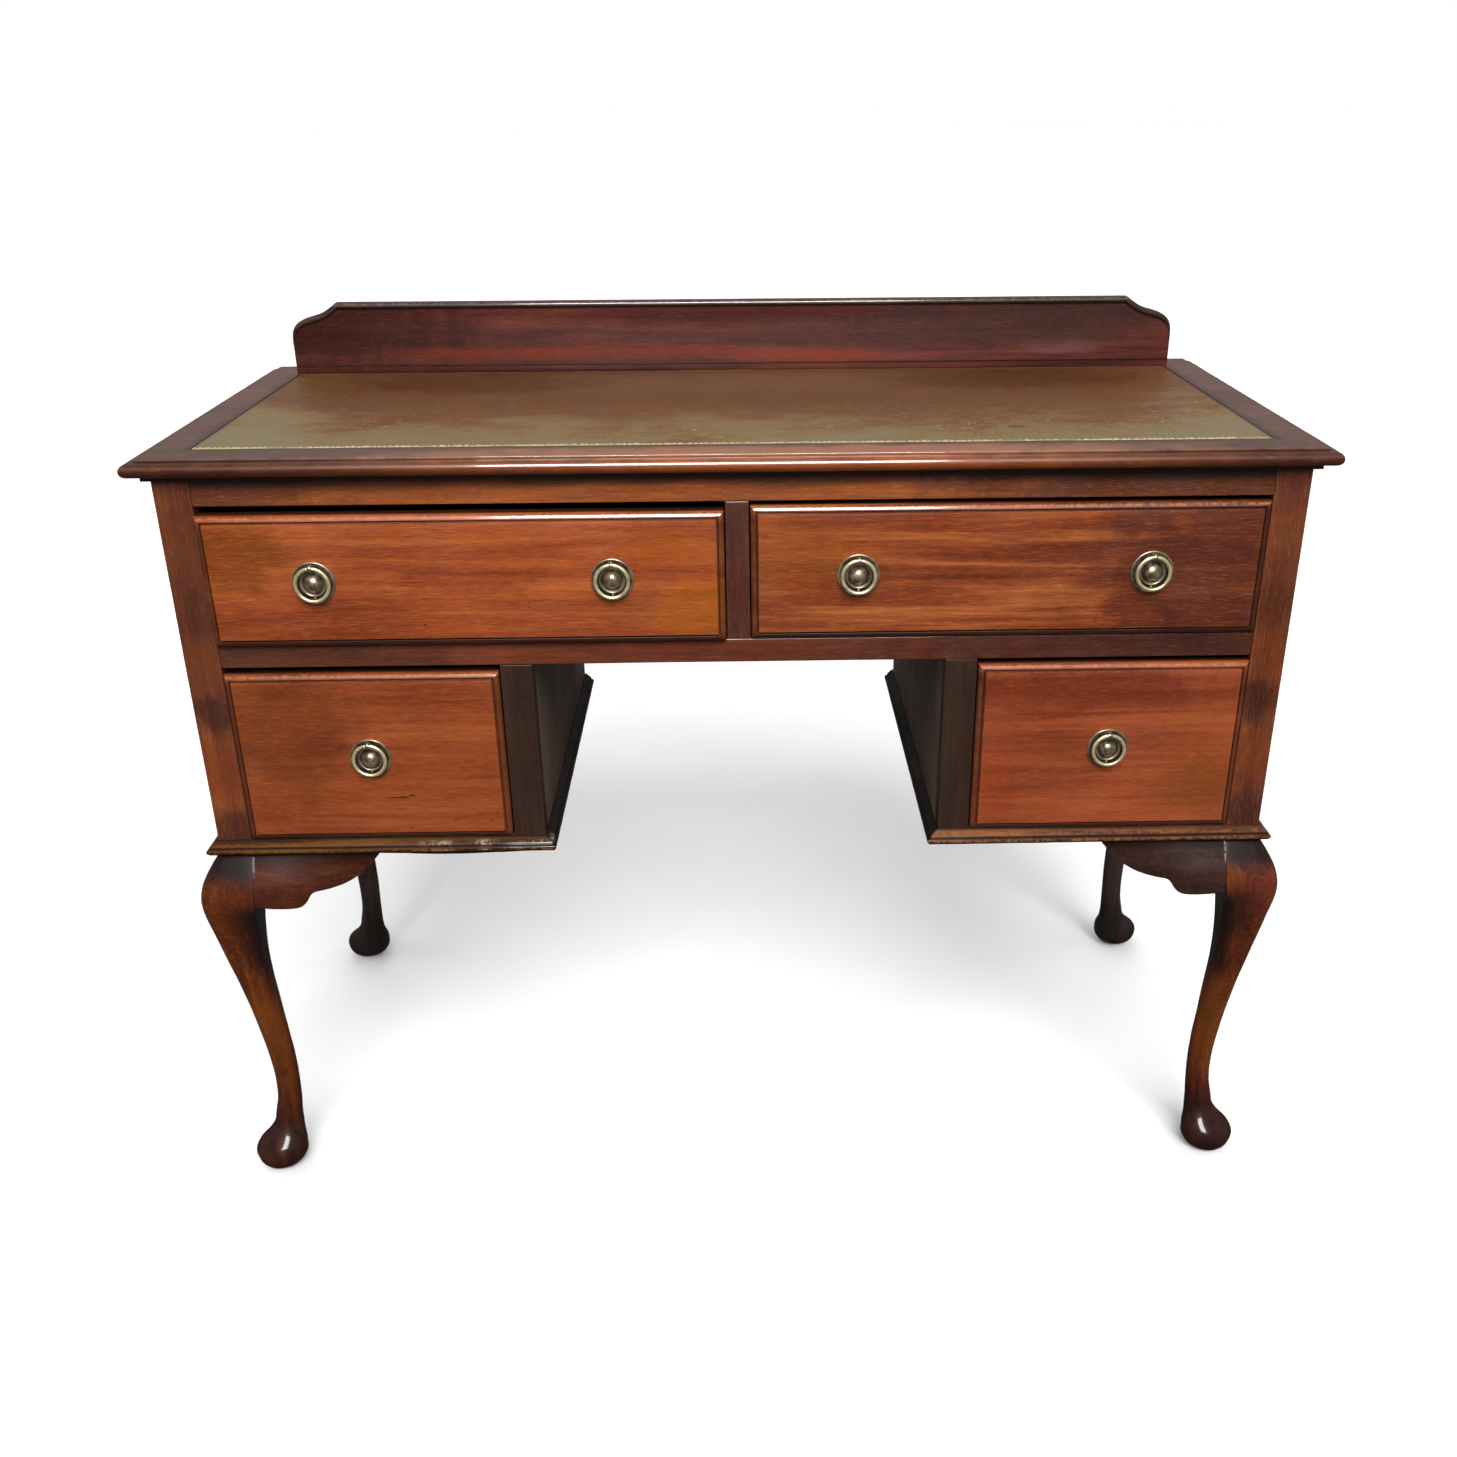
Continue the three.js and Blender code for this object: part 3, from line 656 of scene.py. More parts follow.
def make_gallery():
    """The gallery board, softly rounded along its top, with the fine joint line low on its face."""
    low, high = GALLERY_LOW, GALLERY_HIGH
    joint = low.z + 7 * MM
    radius = 2.2 * MM
    rings = []
    for x, z in gallery_path():
        face = [(low.y + 0.5 * MM, low.z), (low.y, low.z + 0.6 * MM), (low.y, joint - 0.8 * MM)]
        face += [(low.y + 0.7 * MM, joint - 0.35 * MM), (low.y + 0.9 * MM, joint)]
        face += [(low.y + 0.1 * MM, joint + 0.5 * MM), (low.y, joint + 1.2 * MM)]
        face += [(low.y, h) for h in steps(joint + 4 * MM, z - radius - 2 * MM, 7)]
        face += [(low.y + radius - c, z - radius + s) for c, s in arc(0, 0, radius, 0, 90, 6)]
        face += [(high.y - radius + s, z - radius + c) for c, s in arc(0, 0, radius, 0, 90, 6)]
        face += [(high.y, h) for h in steps(z - radius - 2 * MM, low.z, 8)]
        rings.append([Vector((x, y, h)) for y, h in face])
    piece = lofted("gallery_wood", rings, sharp=40)

    # Painted shade in the joint groove low on the face, deeper to the right.
    def grime(p):
        side = between(0.35, 0.95, smooth(-0.2, 0.15, p.x))
        return side * near(p.z, joint, 0.9 * MM) * (p.y < low.y + 2 * MM)

    paint(piece, grime=grime, wear=lambda p: 0.5 * near(p.z, low.z + 3 * MM, 2.5 * MM))
    weather(piece, 0.15 * MM, 0.07, 2.2)
    gallery_wood = wood(
        "gallery_mahogany", ("391b18", "542922", "6f372c"), grain="X", seed=8.3, figure=0.8,
        patches=on_front(
            low.y,
            ((-0.42, low.z + 45 * MM), (0.2, 0.05), "3b1e19", 0.8),
            ((0.0, low.z + 60 * MM), (0.3, 0.02), "50271f", 0.6),
            ((-0.14, low.z + 20 * MM), (0.3, 0.01), "883a20", 0.85),
            ((0.08, low.z + 13 * MM), (0.12, 0.012), "943e22", 0.85),
            # Painted sheen: a pale pink patch low on the right of the face.
            ((0.36, low.z + 22 * MM), (0.06, 0.012), "8a625e", 0.65),
            ((0.33, low.z + 48 * MM), (0.3, 0.035), "4c3632", 0.8),
            depth=0.01,
        ),
        roughness=(0.3, 0.42), coat=0.28, gloss=0.06,
    )
    finish_piece(piece, gallery_wood, "gallery_board")


def make_gallery_bead():
    """A half-round bead along the gallery's top edge that dies away round its corners."""
    low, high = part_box("gallery_bead")
    radius, reach, back = 3 * MM, high.y - low.y, high.y
    path = gallery_path()
    rings = []
    for i, (x, z) in enumerate(path):
        (x0, z0), (x1, z1) = path[max(i - 1, 0)], path[min(i + 1, len(path) - 1)]
        direction = Vector((x1 - x0, z1 - z0)).normalized()
        inward = Vector((direction.y, -direction.x))
        size = between(0.25, 1, smooth(GALLERY_HIGH.z - 40 * MM, GALLERY_HIGH.z - 14 * MM, z))
        ring = []
        for out, up in arc(0, 0, 1, 90, 270, 14):
            across = (radius - up * radius) * size
            ring.append(Vector((x + inward.x * across, back + out * reach * size, z + inward.y * across)))
        rings.append(ring)
    piece = lofted("gallery_bead_wood", rings)
    # Worn spots and painted highlight give the bead's top a pale grey; the dark line just below it is
    # painted shade.
    paint(
        piece,
        wear=lambda p: near(p.z, GALLERY_HIGH.z - 1 * MM, 1.6 * MM),
        grime=lambda p: 0.9 * near(p.z, GALLERY_HIGH.z - 6 * MM, 0.9 * MM),
    )
    weather(piece, 0.1 * MM, 0.02, 3.1)
    bead_wood = wood(
        "bead_mahogany", ("241613", "33201b", "4f3a33"), grain="X", seed=9.9, wear=0.4, worn="77695f"
    )
    finish_piece(piece, bead_wood, "gallery_bead")


# -------- front frame and sides


def make_boards():
    """The plain boards of the front frame and of the kneehole."""
    # Painted shade: the kneehole's stiles and sides take dark, dull tones that stand in for the shade
    # inside the kneehole.
    shaded = dict(grain="Z", figure=0.2, wear=0.2, roughness=(0.4, 0.55), coat=0.1, gloss=0.08)
    kneehole_painted_shade_wood = wood(
        "kneehole_mahogany_painted_shade", ("241812", "31211a", "443023"), seed=12.0, worn="5a3c26", **shaded
    )
    kneehole_side_painted_shade_wood = wood(
        "kneehole_side_mahogany_painted_shade", ("513c31", "6a5141", "896c56"), seed=13.0, worn="6a5444", **shaded
    )
    muntin_wood = wood("muntin_mahogany", ("3a1c13", "4d261a", "603120"), grain="Z", seed=14.0, figure=0.2)
    frieze_wood = wood(
        "frieze_mahogany", ("6a341b", "9a5023", "c67634"), grain="X", seed=15.5, figure=0.4,
        patches=on_front(
            FRONT,
            ((-0.45, 0.72), (0.14, 0.06), "4c2b20", 0.7),
            ((0.4, 0.72), (0.3, 0.06), "482a24", 0.8),
        ),
    )
    middle_wood = wood(
        "middle_rail_mahogany", ("472317", "65301d", "854026"), grain="X", seed=17.0, figure=0.4, wear=0.2,
        patches=on_front(
            FRONT,
            ((-0.42, 0.575), (0.2, 0.05), "46352c", 0.6),
            ((-0.02, 0.575), (0.16, 0.05), "74381e", 0.5),
            ((0.36, 0.575), (0.3, 0.05), "3a2320", 0.75),
        ),
    )
    plain = [
        ("frieze_rail", frieze_wood, "frame"),
        ("middle_rail", middle_wood, "frame"),
        ("drawer_muntin", muntin_wood, "frame"),
        ("kneehole_stile_left", kneehole_painted_shade_wood, "dark"),
        ("kneehole_stile_right", kneehole_painted_shade_wood, "dark"),
        ("kneehole_side_left", kneehole_side_painted_shade_wood, "dark"),
        ("kneehole_side_right", kneehole_side_painted_shade_wood, "dark"),
    ]
    frieze_low, frieze_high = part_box("frieze_rail")

    def painted_nose_shadow(p):
        """A painted shadow: the dark band across the frieze's upper part, under its overhanging top."""
        up = (p.z - frieze_low.z) / (frieze_high.z - frieze_low.z)
        return 0.75 * smooth(0.52, 0.78, up + 0.1 * noise.noise(p * 14))

    for i, (node, material, slot) in enumerate(plain):
        nose_shadow_settings = dict(pitch=4 * MM, grime=painted_nose_shadow) if node == "frieze_rail" else {}
        made = board(f"{node}_wood", node, seed=i * 2.7, **nose_shadow_settings)
        finish_piece(made, material, node, slot=slot)


def make_stiles_and_sides():
    """The front stiles, with lighter and darker patches down them, and the outer sides."""
    for side, sign in SIDES:
        x = sign * (HALF_WIDTH - 14 * MM)
        stile_wood = wood(
            f"stile_mahogany_{side}", ("45211a", "66331f", "8e4d25"), grain="Z", seed=20.0 + sign,
            figure=0.45, wear=0.2,
            patches=on_front(
                FRONT,
                ((x, 0.68), (0.05, 0.035), "804724" if sign < 0 else "8e5026", 0.7),
                ((x - sign * 0.01, 0.615), (0.035, 0.03), "5c3118", 0.6),
                ((x + sign * 0.006, 0.565), (0.035, 0.03), "82451f", 0.7),
                ((x - sign * 0.008, 0.52), (0.03, 0.03), "3c2019", 0.75),
                ((x + sign * 0.004, 0.465), (0.04, 0.035), "8a4822", 0.7),
                ((x, 0.40), (0.05, 0.03), "3f221a", 0.7),
            ),
        )
        stile = board(f"front_stile_{side}_wood", f"front_stile_{side}", seed=5.0 + sign)
        finish_piece(stile, stile_wood, f"front_stile_{side}")
        side_wood = wood(
            f"side_mahogany_{side}", ("482115", "69341f", "8c4a29"), grain="Z", seed=24.0 + sign,
            figure=0.8, wear=0.25,
        )
        panel = board(f"outer_side_{side}_wood", f"outer_side_{side}", pitch=14 * MM, seed=7.0 + sign)
        finish_piece(panel, side_wood, f"outer_side_{side}")


def base_section():
    """The base moulding's section, as how far it stands out and its height: a slope, a groove, a bead."""
    top = PEDESTAL_BOTTOM + 15 * MM
    points = [(0.3, 0), (0.9, 0), (1.4, 0.2), (2.0, 0.7), (3.2, 1.8), (4.6, 2.9), (6.0, 4.1), (7.1, 5.1)]
    points += [(7.5, 5.8), (7.45, 6.4), (7.1, 6.8), (7.3, 7.1), (8.0, 7.2)]
    bead = [(7.95 + c, 9.75 - s) for c, s in arc(0, 0, 2.55, 80, -50, 10)]
    points += bead + [(8.6, 12.9), (7.4, 13.6), (3.0, 14.7), (0.3, 14.7)]
    return [(reach * MM, top - drop * MM) for reach, drop in points]


def make_moulding(name, node, places, seed):
    """One length of base moulding, mitred at the ends that places gives, over many short steps."""
    section = base_section()
    start, end = places
    length = (Vector(end(0, 0)) - Vector(start(0, 0))).length
    count = max(8, round(length / PITCH))
    rings = []
    for t in steps(0, 1, count):
        rings.append([Vector(start(r, z)).lerp(Vector(end(r, z)), t) for r, z in section])
    piece = lofted(name, rings, sharp=34)
    groove = PEDESTAL_BOTTOM + 8.2 * MM
    corner = Vector(start(0, groove))
    left_front = node == "base_moulding_front_left"

    def rise(p):
        return p.z - PEDESTAL_BOTTOM

    # Painted shade in the groove, along the underside and where the top meets the carcass.
    def grime(p):
        under = smooth(2.6 * MM, 1.0 * MM, rise(p))
        top_edge = 0.6 * smooth(13 * MM, 14.6 * MM, rise(p))
        return max(0.9 * near(p.z, groove, 0.9 * MM), 0.95 * under, top_edge)

    def wear(p):
        slope, bead = near(rise(p), 11 * MM, 1.6 * MM), near(rise(p), 5 * MM, 1.6 * MM)
        return 0.45 * slope + bead

    def chip(p):
        """Bare patches near the kneehole, worst on the left."""
        away = (p - corner).length
        spread = near(away, 62 * MM, 50 * MM) if left_front else near(away, 5 * MM, 5 * MM)
        edge = near(rise(p), 10.4 * MM, 1.8 * MM) + near(rise(p), 4.5 * MM, 0.9 * MM)
        return 1.1 * spread * edge * smooth(-0.08, 0.08, noise.noise(p * 40))

    paint(piece, grime=grime, wear=wear, chip=chip)
    weather(piece, 0.2 * MM, 0.02, seed)
    if left_front:
        sag(piece, 0.36, 0.2, 3.2 * MM)
    return piece


def sag(piece, start, end, depth):
    """Lets the underside of a moulding droop between two distances from the desk's middle."""
    for vertex in piece.data.vertices:
        along_it = (abs(vertex.co.x) - end) / (start - end)
        if 0 < along_it < 1:
            low_down = smooth(2.2 * MM, 0.8 * MM, vertex.co.z - PEDESTAL_BOTTOM)
            vertex.co.z -= depth * low_down * math.sin(math.pi * along_it) ** 1.5
    piece.data.update()


def make_base_mouldings():
    """Three lengths of moulding round each pedestal, mitred together at its front corners."""
    for side, sign in SIDES:
        tones = ("1e1007", "341c0b", "5c3814") if sign < 0 else ("29160e", "4e2d1b", "7c4c2e")
        front_wood = wood(
            f"moulding_mahogany_{side}", tones, grain="X", seed=30.0 + sign,
            worn="7c4a1e" if sign < 0 else "ac7040", wear=0.65, figure=1.1,
            chips="b8947c", coat=0.22, gloss=0.05,
        )
        outer_wood = wood(
            f"moulding_side_mahogany_{side}", tones, grain="Y", seed=32.0 + sign, worn="8d5d34", wear=0.4,
            figure=0.8, coat=0.35, gloss=0.12,
        )
        # Painted shade: the inner runs, inside the kneehole, take near-black tones for the shade there.
        inner_painted_shade_wood = wood(
            f"moulding_inner_mahogany_painted_shade_{side}", ("120d0b", "1a1310", "261b16"), grain="Y", seed=34.0 + sign,
            worn="4a3428", roughness=(0.4, 0.55), coat=0.1, gloss=0.05,
        )
        inner, outer = KNEEHOLE_HALF, HALF_WIDTH

        def front_inner(r, z):
            return (sign * (inner - r + GAP), FRONT - r, z)

        def front_outer(r, z):
            return (sign * (outer + r - GAP), FRONT - r, z)

        def side_run(x_of):
            def front_end(r, z):
                return (sign * x_of(r), FRONT - r + GAP, z)

            def back_end(r, z):
                return (sign * x_of(r), BACK, z)

            return front_end, back_end

        runs = [
            ("front", (front_inner, front_outer), front_wood, "frame"),
            ("outer", side_run(lambda r: outer + r), outer_wood, "frame"),
            ("inner", side_run(lambda r: inner - r), inner_painted_shade_wood, "dark"),
        ]
        for i, (where, places, material, slot) in enumerate(runs):
            node = f"base_moulding_{where}_{side}"
            piece = make_moulding(f"{node}_wood", node, places, seed=40.0 + 3 * i + sign)
            finish_piece(piece, material, node, slot=slot)


# -------- legs and brackets

# Leg shape by height above the floor, in millimetres: how far the outer faces stand out from the
# carcass's corner, and how far inside it the inner faces lie
LEG_LEVELS = [
    (0, 8, 15.5), (2.5, 14, 22), (7, 18.6, 27.6), (13, 21.2, 31.2), (21, 22, 33), (29, 17.8, 31.6),
    (38.5, 7.6, 30), (48.5, 0.6, 29.6), (57, -1.5, 29.6), (80, -6, 30.6), (115, -6.2, 31.4),
    (185, 1, 28), (245, 10.4, 25), (290, 18.4, 26.2), (325, 24, 30.6), (345, 20.5, 32), (363, 11, 32),
    (374.7, 3, 32),
]
leg_shape = curve_through(LEG_LEVELS)
LEG_BLOCK = 32
LEG_TOP = LEG_LEVELS[-1][0]
# How round a leg's corners are, as a part of half its width: the knee's outer corner, its other
# corners, and what those gain below the brackets. From the shin down to the ankle all turn round.
KNEE_ROUNDING, BLOCK_ROUNDING, SHIN_ROUNDING = 0.55, 0.03, 0.42
ROUND_BELOW, SQUARE_ABOVE = 115, 340
BRACKET_HEIGHTS = (304, 326)
OUTER_CORNER = 3


def leg_at(z):
    outer, inner = leg_shape(z)
    return outer, min(inner, LEG_BLOCK)


def leg_ring(z):
    """A leg's section: soft at the knee's outer corner, squarer at the others, round at the ankle."""
    outer, inner = leg_at(z)
    half, centre = (outer + inner) / 2, (outer - inner) / 2
    ankle = 1 - smooth(ROUND_BELOW, SQUARE_ABOVE, z)
    others = BLOCK_ROUNDING + SHIN_ROUNDING * smooth(BRACKET_HEIGHTS[1], BRACKET_HEIGHTS[0], z)
    ring = []
    for corner in range(4):
        rounding = KNEE_ROUNDING if corner == OUTER_CORNER else others
        radius = half * between(rounding, 1, ankle)
        cx = centre + (1 if corner in (0, 3) else -1) * (half - radius)
        cy = -centre + (1 if corner < 2 else -1) * (half - radius)
        ring += arc(cx, cy, radius, 90 * corner, 90 * corner + 81, 9)
    return ring


def make_legs():
    """Four cabriole legs, each lofted from the floor up and turned to its own corner."""
    levels = [0, 0.5, 1.2, 2.4] + steps(4, 60, 24) + steps(63.5, 312, 62) + steps(315, LEG_TOP, 18)
    for end, corner_y, forward in ENDS:
        for side, sign in SIDES:

            def place(x, y, z):
                return Vector((sign * (HALF_WIDTH + x * MM), corner_y + forward * y * MM, z * MM))

            rings = [[place(x, y, z) for x, y in leg_ring(z)] for z in levels]
            piece = lofted(f"leg_{end}_{side}_wood", rings, sharp=45)

            def inner_side(p):
                """How far a point lies towards the desk's inside from its leg's middle line."""
                outer, inner = leg_at(min(p.z / MM, LEG_TOP))
                middle = (outer - inner) / 2 * MM
                return -(sign * (p.x - sign * HALF_WIDTH) - middle) / 30 / MM

            # Painted shade down the inner side below the knee, and painted shadow just under the base
            # moulding; the feet also darken towards the floor.
            def grime(p):
                blur = 0.25 * noise.noise(p * 30)
                below_knee = smooth(170 * MM, 260 * MM, p.z) * smooth(336 * MM, 318 * MM, p.z)
                shade = smooth(0.15, 0.65, inner_side(p) + blur) * below_knee
                under_moulding = smooth(LEG_TOP - 34, LEG_TOP - 12, p.z / MM + 20 * blur)
                foot = smooth(95 * MM, 45 * MM, p.z + 0.03 * blur)
                return max(0.85 * shade, 0.92 * under_moulding, 0.72 * foot)

            def wear(p):
                return 0.9 * smooth(0.2, -0.4, inner_side(p)) * smooth(90 * MM, 150 * MM, p.z)

            paint(piece, grime=grime, wear=wear)
            weather(piece, 0.35 * MM, 0.03, 50.0 + sign + forward)
            # Painted shade: the rear legs take dull, dark tones for the shade they stand in; the front legs
            # below keep the mahogany's colours.
            tones, worn, knee_sheen_and_shin_patches = ("292120", "3a2f2b", "4c3c36"), "4a382c", ()
            if end == "front":
                tones, worn = ("2c140c", "482012", "743a18"), "8e5022"
                knee = (sign * (HALF_WIDTH + 8 * MM), corner_y - forward * 8 * MM, 0.325)
                shin = (sign * (HALF_WIDTH - 14 * MM), corner_y + forward * 14 * MM, 0.17)
                # Painted sheen on each knee's bulge, pinker on the right knee; a lighter orange patch down
                # the shin.
                knee_sheen_and_shin_patches = [
                    (knee, (0.05, 0.05, 0.05), "72361a" if sign < 0 else "6e352c", 0.7),
                    (shin, (0.04, 0.04, 0.09), "8e5422", 0.6),
                ]
            leg_wood = wood(
                f"leg_mahogany_{end}_{side}", tones, grain="Z", seed=52.0 + sign + 3 * forward,
                figure=1.0, worn=worn, wear=0.25, dirt_and_shade_tone="1a1414", patches=knee_sheen_and_shin_patches,
                roughness=(0.26, 0.42), coat=0.3, coat_roughness=0.13, gloss=0.04,
            )
            finish_piece(piece, leg_wood, f"leg_{end}_{side}")


BRACKET_LENGTH = 122
BRACKET_THICKNESS = 18
# A knee bracket's lower edge, in millimetres: distance from the leg, height above the floor
bracket_edge = curve_through(
    [
        (0, 326), (20, 323.3), (36, 322.3), (43, 323.6), (48, 327.5), (51, 332), (54, 336), (58, 337.6),
        (66, 338.6), (76, 340.6), (88, 344.5), (102, 352.5), (113, 362.5), (BRACKET_LENGTH, 373),
    ]
)


def make_bracket(name, place, seed):
    """A knee bracket: the knee's bulge carried on from the leg, fading out to a thin tip."""
    rings = []
    for distance in steps(0, BRACKET_LENGTH, 70):
        bottom = min(bracket_edge(distance)[0], LEG_TOP - 1.2)
        fade = between(1, 0.12, smooth(0, BRACKET_LENGTH, distance))

        def face(z):
            return 3 + (leg_at(z)[0] - 3) * fade

        ring = [(-BRACKET_THICKNESS, bottom + 0.6), (-BRACKET_THICKNESS, LEG_TOP)]
        heights = steps(LEG_TOP, bottom + min(2, (LEG_TOP - bottom) / 3), 14)
        ring += [(face(z), z) for z in heights]
        last = face(heights[-1])
        drop = heights[-1] - bottom
        ring += [(last - drop * (1 - c), heights[-1] - drop * s) for c, s in arc(0, 0, 1, 15, 90, 5)]
        rings.append([Vector(place(distance * MM, reach * MM, z * MM)) for reach, z in ring])
    piece = lofted(name, rings, sharp=40)
    inner_end = Vector(place(0, 0, 0))
    direction = Vector(place(1, 0, 0)) - inner_end

    def from_leg(p):
        return (p - inner_end).dot(direction) / MM

    def chip(p):
        """The pale glue line beside the leg and the chipped lower edge of the tip."""
        joint = near(from_leg(p), 0, 0.9) * smooth(LEG_TOP - 22, LEG_TOP - 12, p.z / MM)
        tip = near(p.z / MM, bracket_edge(from_leg(p))[0], 0.8) * smooth(84, 100, from_leg(p))
        return 0.9 * joint + 0.7 * tip * (from_leg(p) < BRACKET_LENGTH)

    # Painted shadow along the bracket's top, under the base moulding.
    def grime(p):
        return 0.8 * smooth(LEG_TOP - 12, LEG_TOP - 2, p.z / MM)

    paint(piece, grime=grime, chip=chip, wear=lambda p: 0.2)
    weather(piece, 0.25 * MM, 0.03, seed)
    return piece


def make_brackets():
    """Knee brackets beside the legs: one across each pedestal's front, two along its side."""
    beside_leg = LEG_BLOCK * MM + GAP
    for side, sign in SIDES:
        tones = ("2a120c", "3e1c12", "5a2d1a") if sign < 0 else ("1f1312", "2b1b19", "3b2521")
        bracket_wood = wood(
            f"bracket_mahogany_{side}", tones, grain="X", seed=60.0 + sign, figure=0.6,
            roughness=(0.28, 0.4), coat=0.3, coat_roughness=0.16, gloss=0.05,
        )
        across = make_bracket(
            f"bracket_front_{side}_wood",
            lambda a, r, z: (sign * (HALF_WIDTH - beside_leg - a), FRONT - r, z),
            61.0 + sign,
        )
        finish_piece(across, bracket_wood, f"bracket_front_{side}")
        side_wood = wood(f"bracket_side_mahogany_{side}", tones, grain="Y", seed=64.0 + sign, figure=0.6)
        for end, corner_y, forward in ENDS:
            node = f"bracket_side_{end}_{side}"
            deep = make_bracket(
                f"{node}_wood",
                lambda a, r, z: (sign * (HALF_WIDTH + r), corner_y + forward * (beside_leg + a), z),
                67.0 + sign + forward,
            )
            finish_piece(deep, side_wood, node)


# -------- drawers

FIELD_REACH = 7 * MM
FIELD_PITCH = 7 * MM


def drawer_section(thickness):
    """A drawer front's edge, as [inset from its outline, distance back from the frame's face]."""
    rim = [(0, thickness / MM), (0, 8), (0, 4), (0, 0.5), (0, 0), (0.1, -0.9), (0.5, -2.0), (1.0, -2.8)]
    slope = [(1.5, -3.3), (2.3, -3.8), (3.1, -4.25), (3.9, -4.6), (4.5, -4.75), (4.9, -4.6)]
    quirk = [(5.1, -4.1), (5.3, -3.2), (5.6, -2.9), (6.2, -2.9), (6.6, -3.3)]
    field = [(6.75, -5.6), (6.8, -6.4), (7.05, -6.85), (7.6, -7.0)]
    return [(inset * MM, back * MM) for inset, back in rim + slope + quirk + field]


def make_drawer_front(name, seed, material):
    """A drawer front with a rounded edge moulding, a quirk and a raised flat field."""
    node = f"drawer_front_{name}"
    low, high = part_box(node)
    face = low.y + FIELD_REACH
    across, up = round((high.x - low.x) / FIELD_PITCH), round((high.z - low.z) / FIELD_PITCH)

    def sheet(inset, back):
        xs = steps(low.x + inset, high.x - inset, across)
        zs = steps(low.z + inset, high.z - inset, up)
        return [[Vector((x, face + back, z)) for x in xs] for z in zs]

    def loop(inset, back):
        """The outline of a sheet, once round."""
        rows = sheet(inset, back)
        ring = rows[0] + [row[-1] for row in rows[1:]]
        ring += rows[-1][-2::-1] + [row[0] for row in rows[-2:0:-1]]
        return ring + [ring[0]]

    section = drawer_section(high.y - face)
    loops = [loop(*point) for point in section]
    piece = surface(f"{node}_wood", [loops, sheet(*section[0]), sheet(*section[-1])], sharp=30)

    def inset_of(p):
        return min(p.x - low.x, high.x - p.x, p.z - low.z, high.z - p.z)

    # Dirt in the quirk; painted shade along the lower edge, on the end strips, and on every face behind the
    # front, inside the gap round the drawer.
    def grime(p):
        quirk = near(inset_of(p), 5.7 * MM, 0.8 * MM)
        lower_edge = 0.85 * smooth(7 * MM, 5.5 * MM, p.z - low.z)
        ends = 0.6 * smooth(6 * MM, 5 * MM, min(p.x - low.x, high.x - p.x))
        on_top = smooth(-1, 1, (high.z - p.z) / MM - inset_of(p) / MM - 0.4)
        return max(0.95 * quirk, lower_edge, ends * on_top) if p.y < face + 0.5 * MM else 0.9

    def wear(p):
        """Painted highlight with some real rubbing: bright strips on the moulding's top and, towards the
        desk's middle, on its side, with a fainter one along the field's edge.
        """
        top_strip = near(high.z - p.z, 2 * MM, 1.5 * MM)
        strip = high.x - 2.5 * MM if low.x + high.x < 0 else low.x + 2.5 * MM
        side_strip = 0.8 * near(p.x, strip, 1.5 * MM)
        field_edge = 0.5 * near(inset_of(p), 7 * MM, 0.4 * MM)
        return max(top_strip, side_strip, field_edge)

    paint(piece, grime=grime, wear=wear)
    weather(piece, 0.14 * MM, 0.04, seed)
    finish_piece(piece, material, node, body=f"drawer_{name}", slot="drawer")


def drawer_nicks(low, high, places):
    """Small dark marks on a drawer's field, at fractions of its width and height, with sizes in mm."""
    y = low.y
    return [
        ((between(low.x, high.x, u), y, between(low.z, high.z, v)), (across * MM, 0.02, up * MM))
        for u, v, across, up in places
    ]


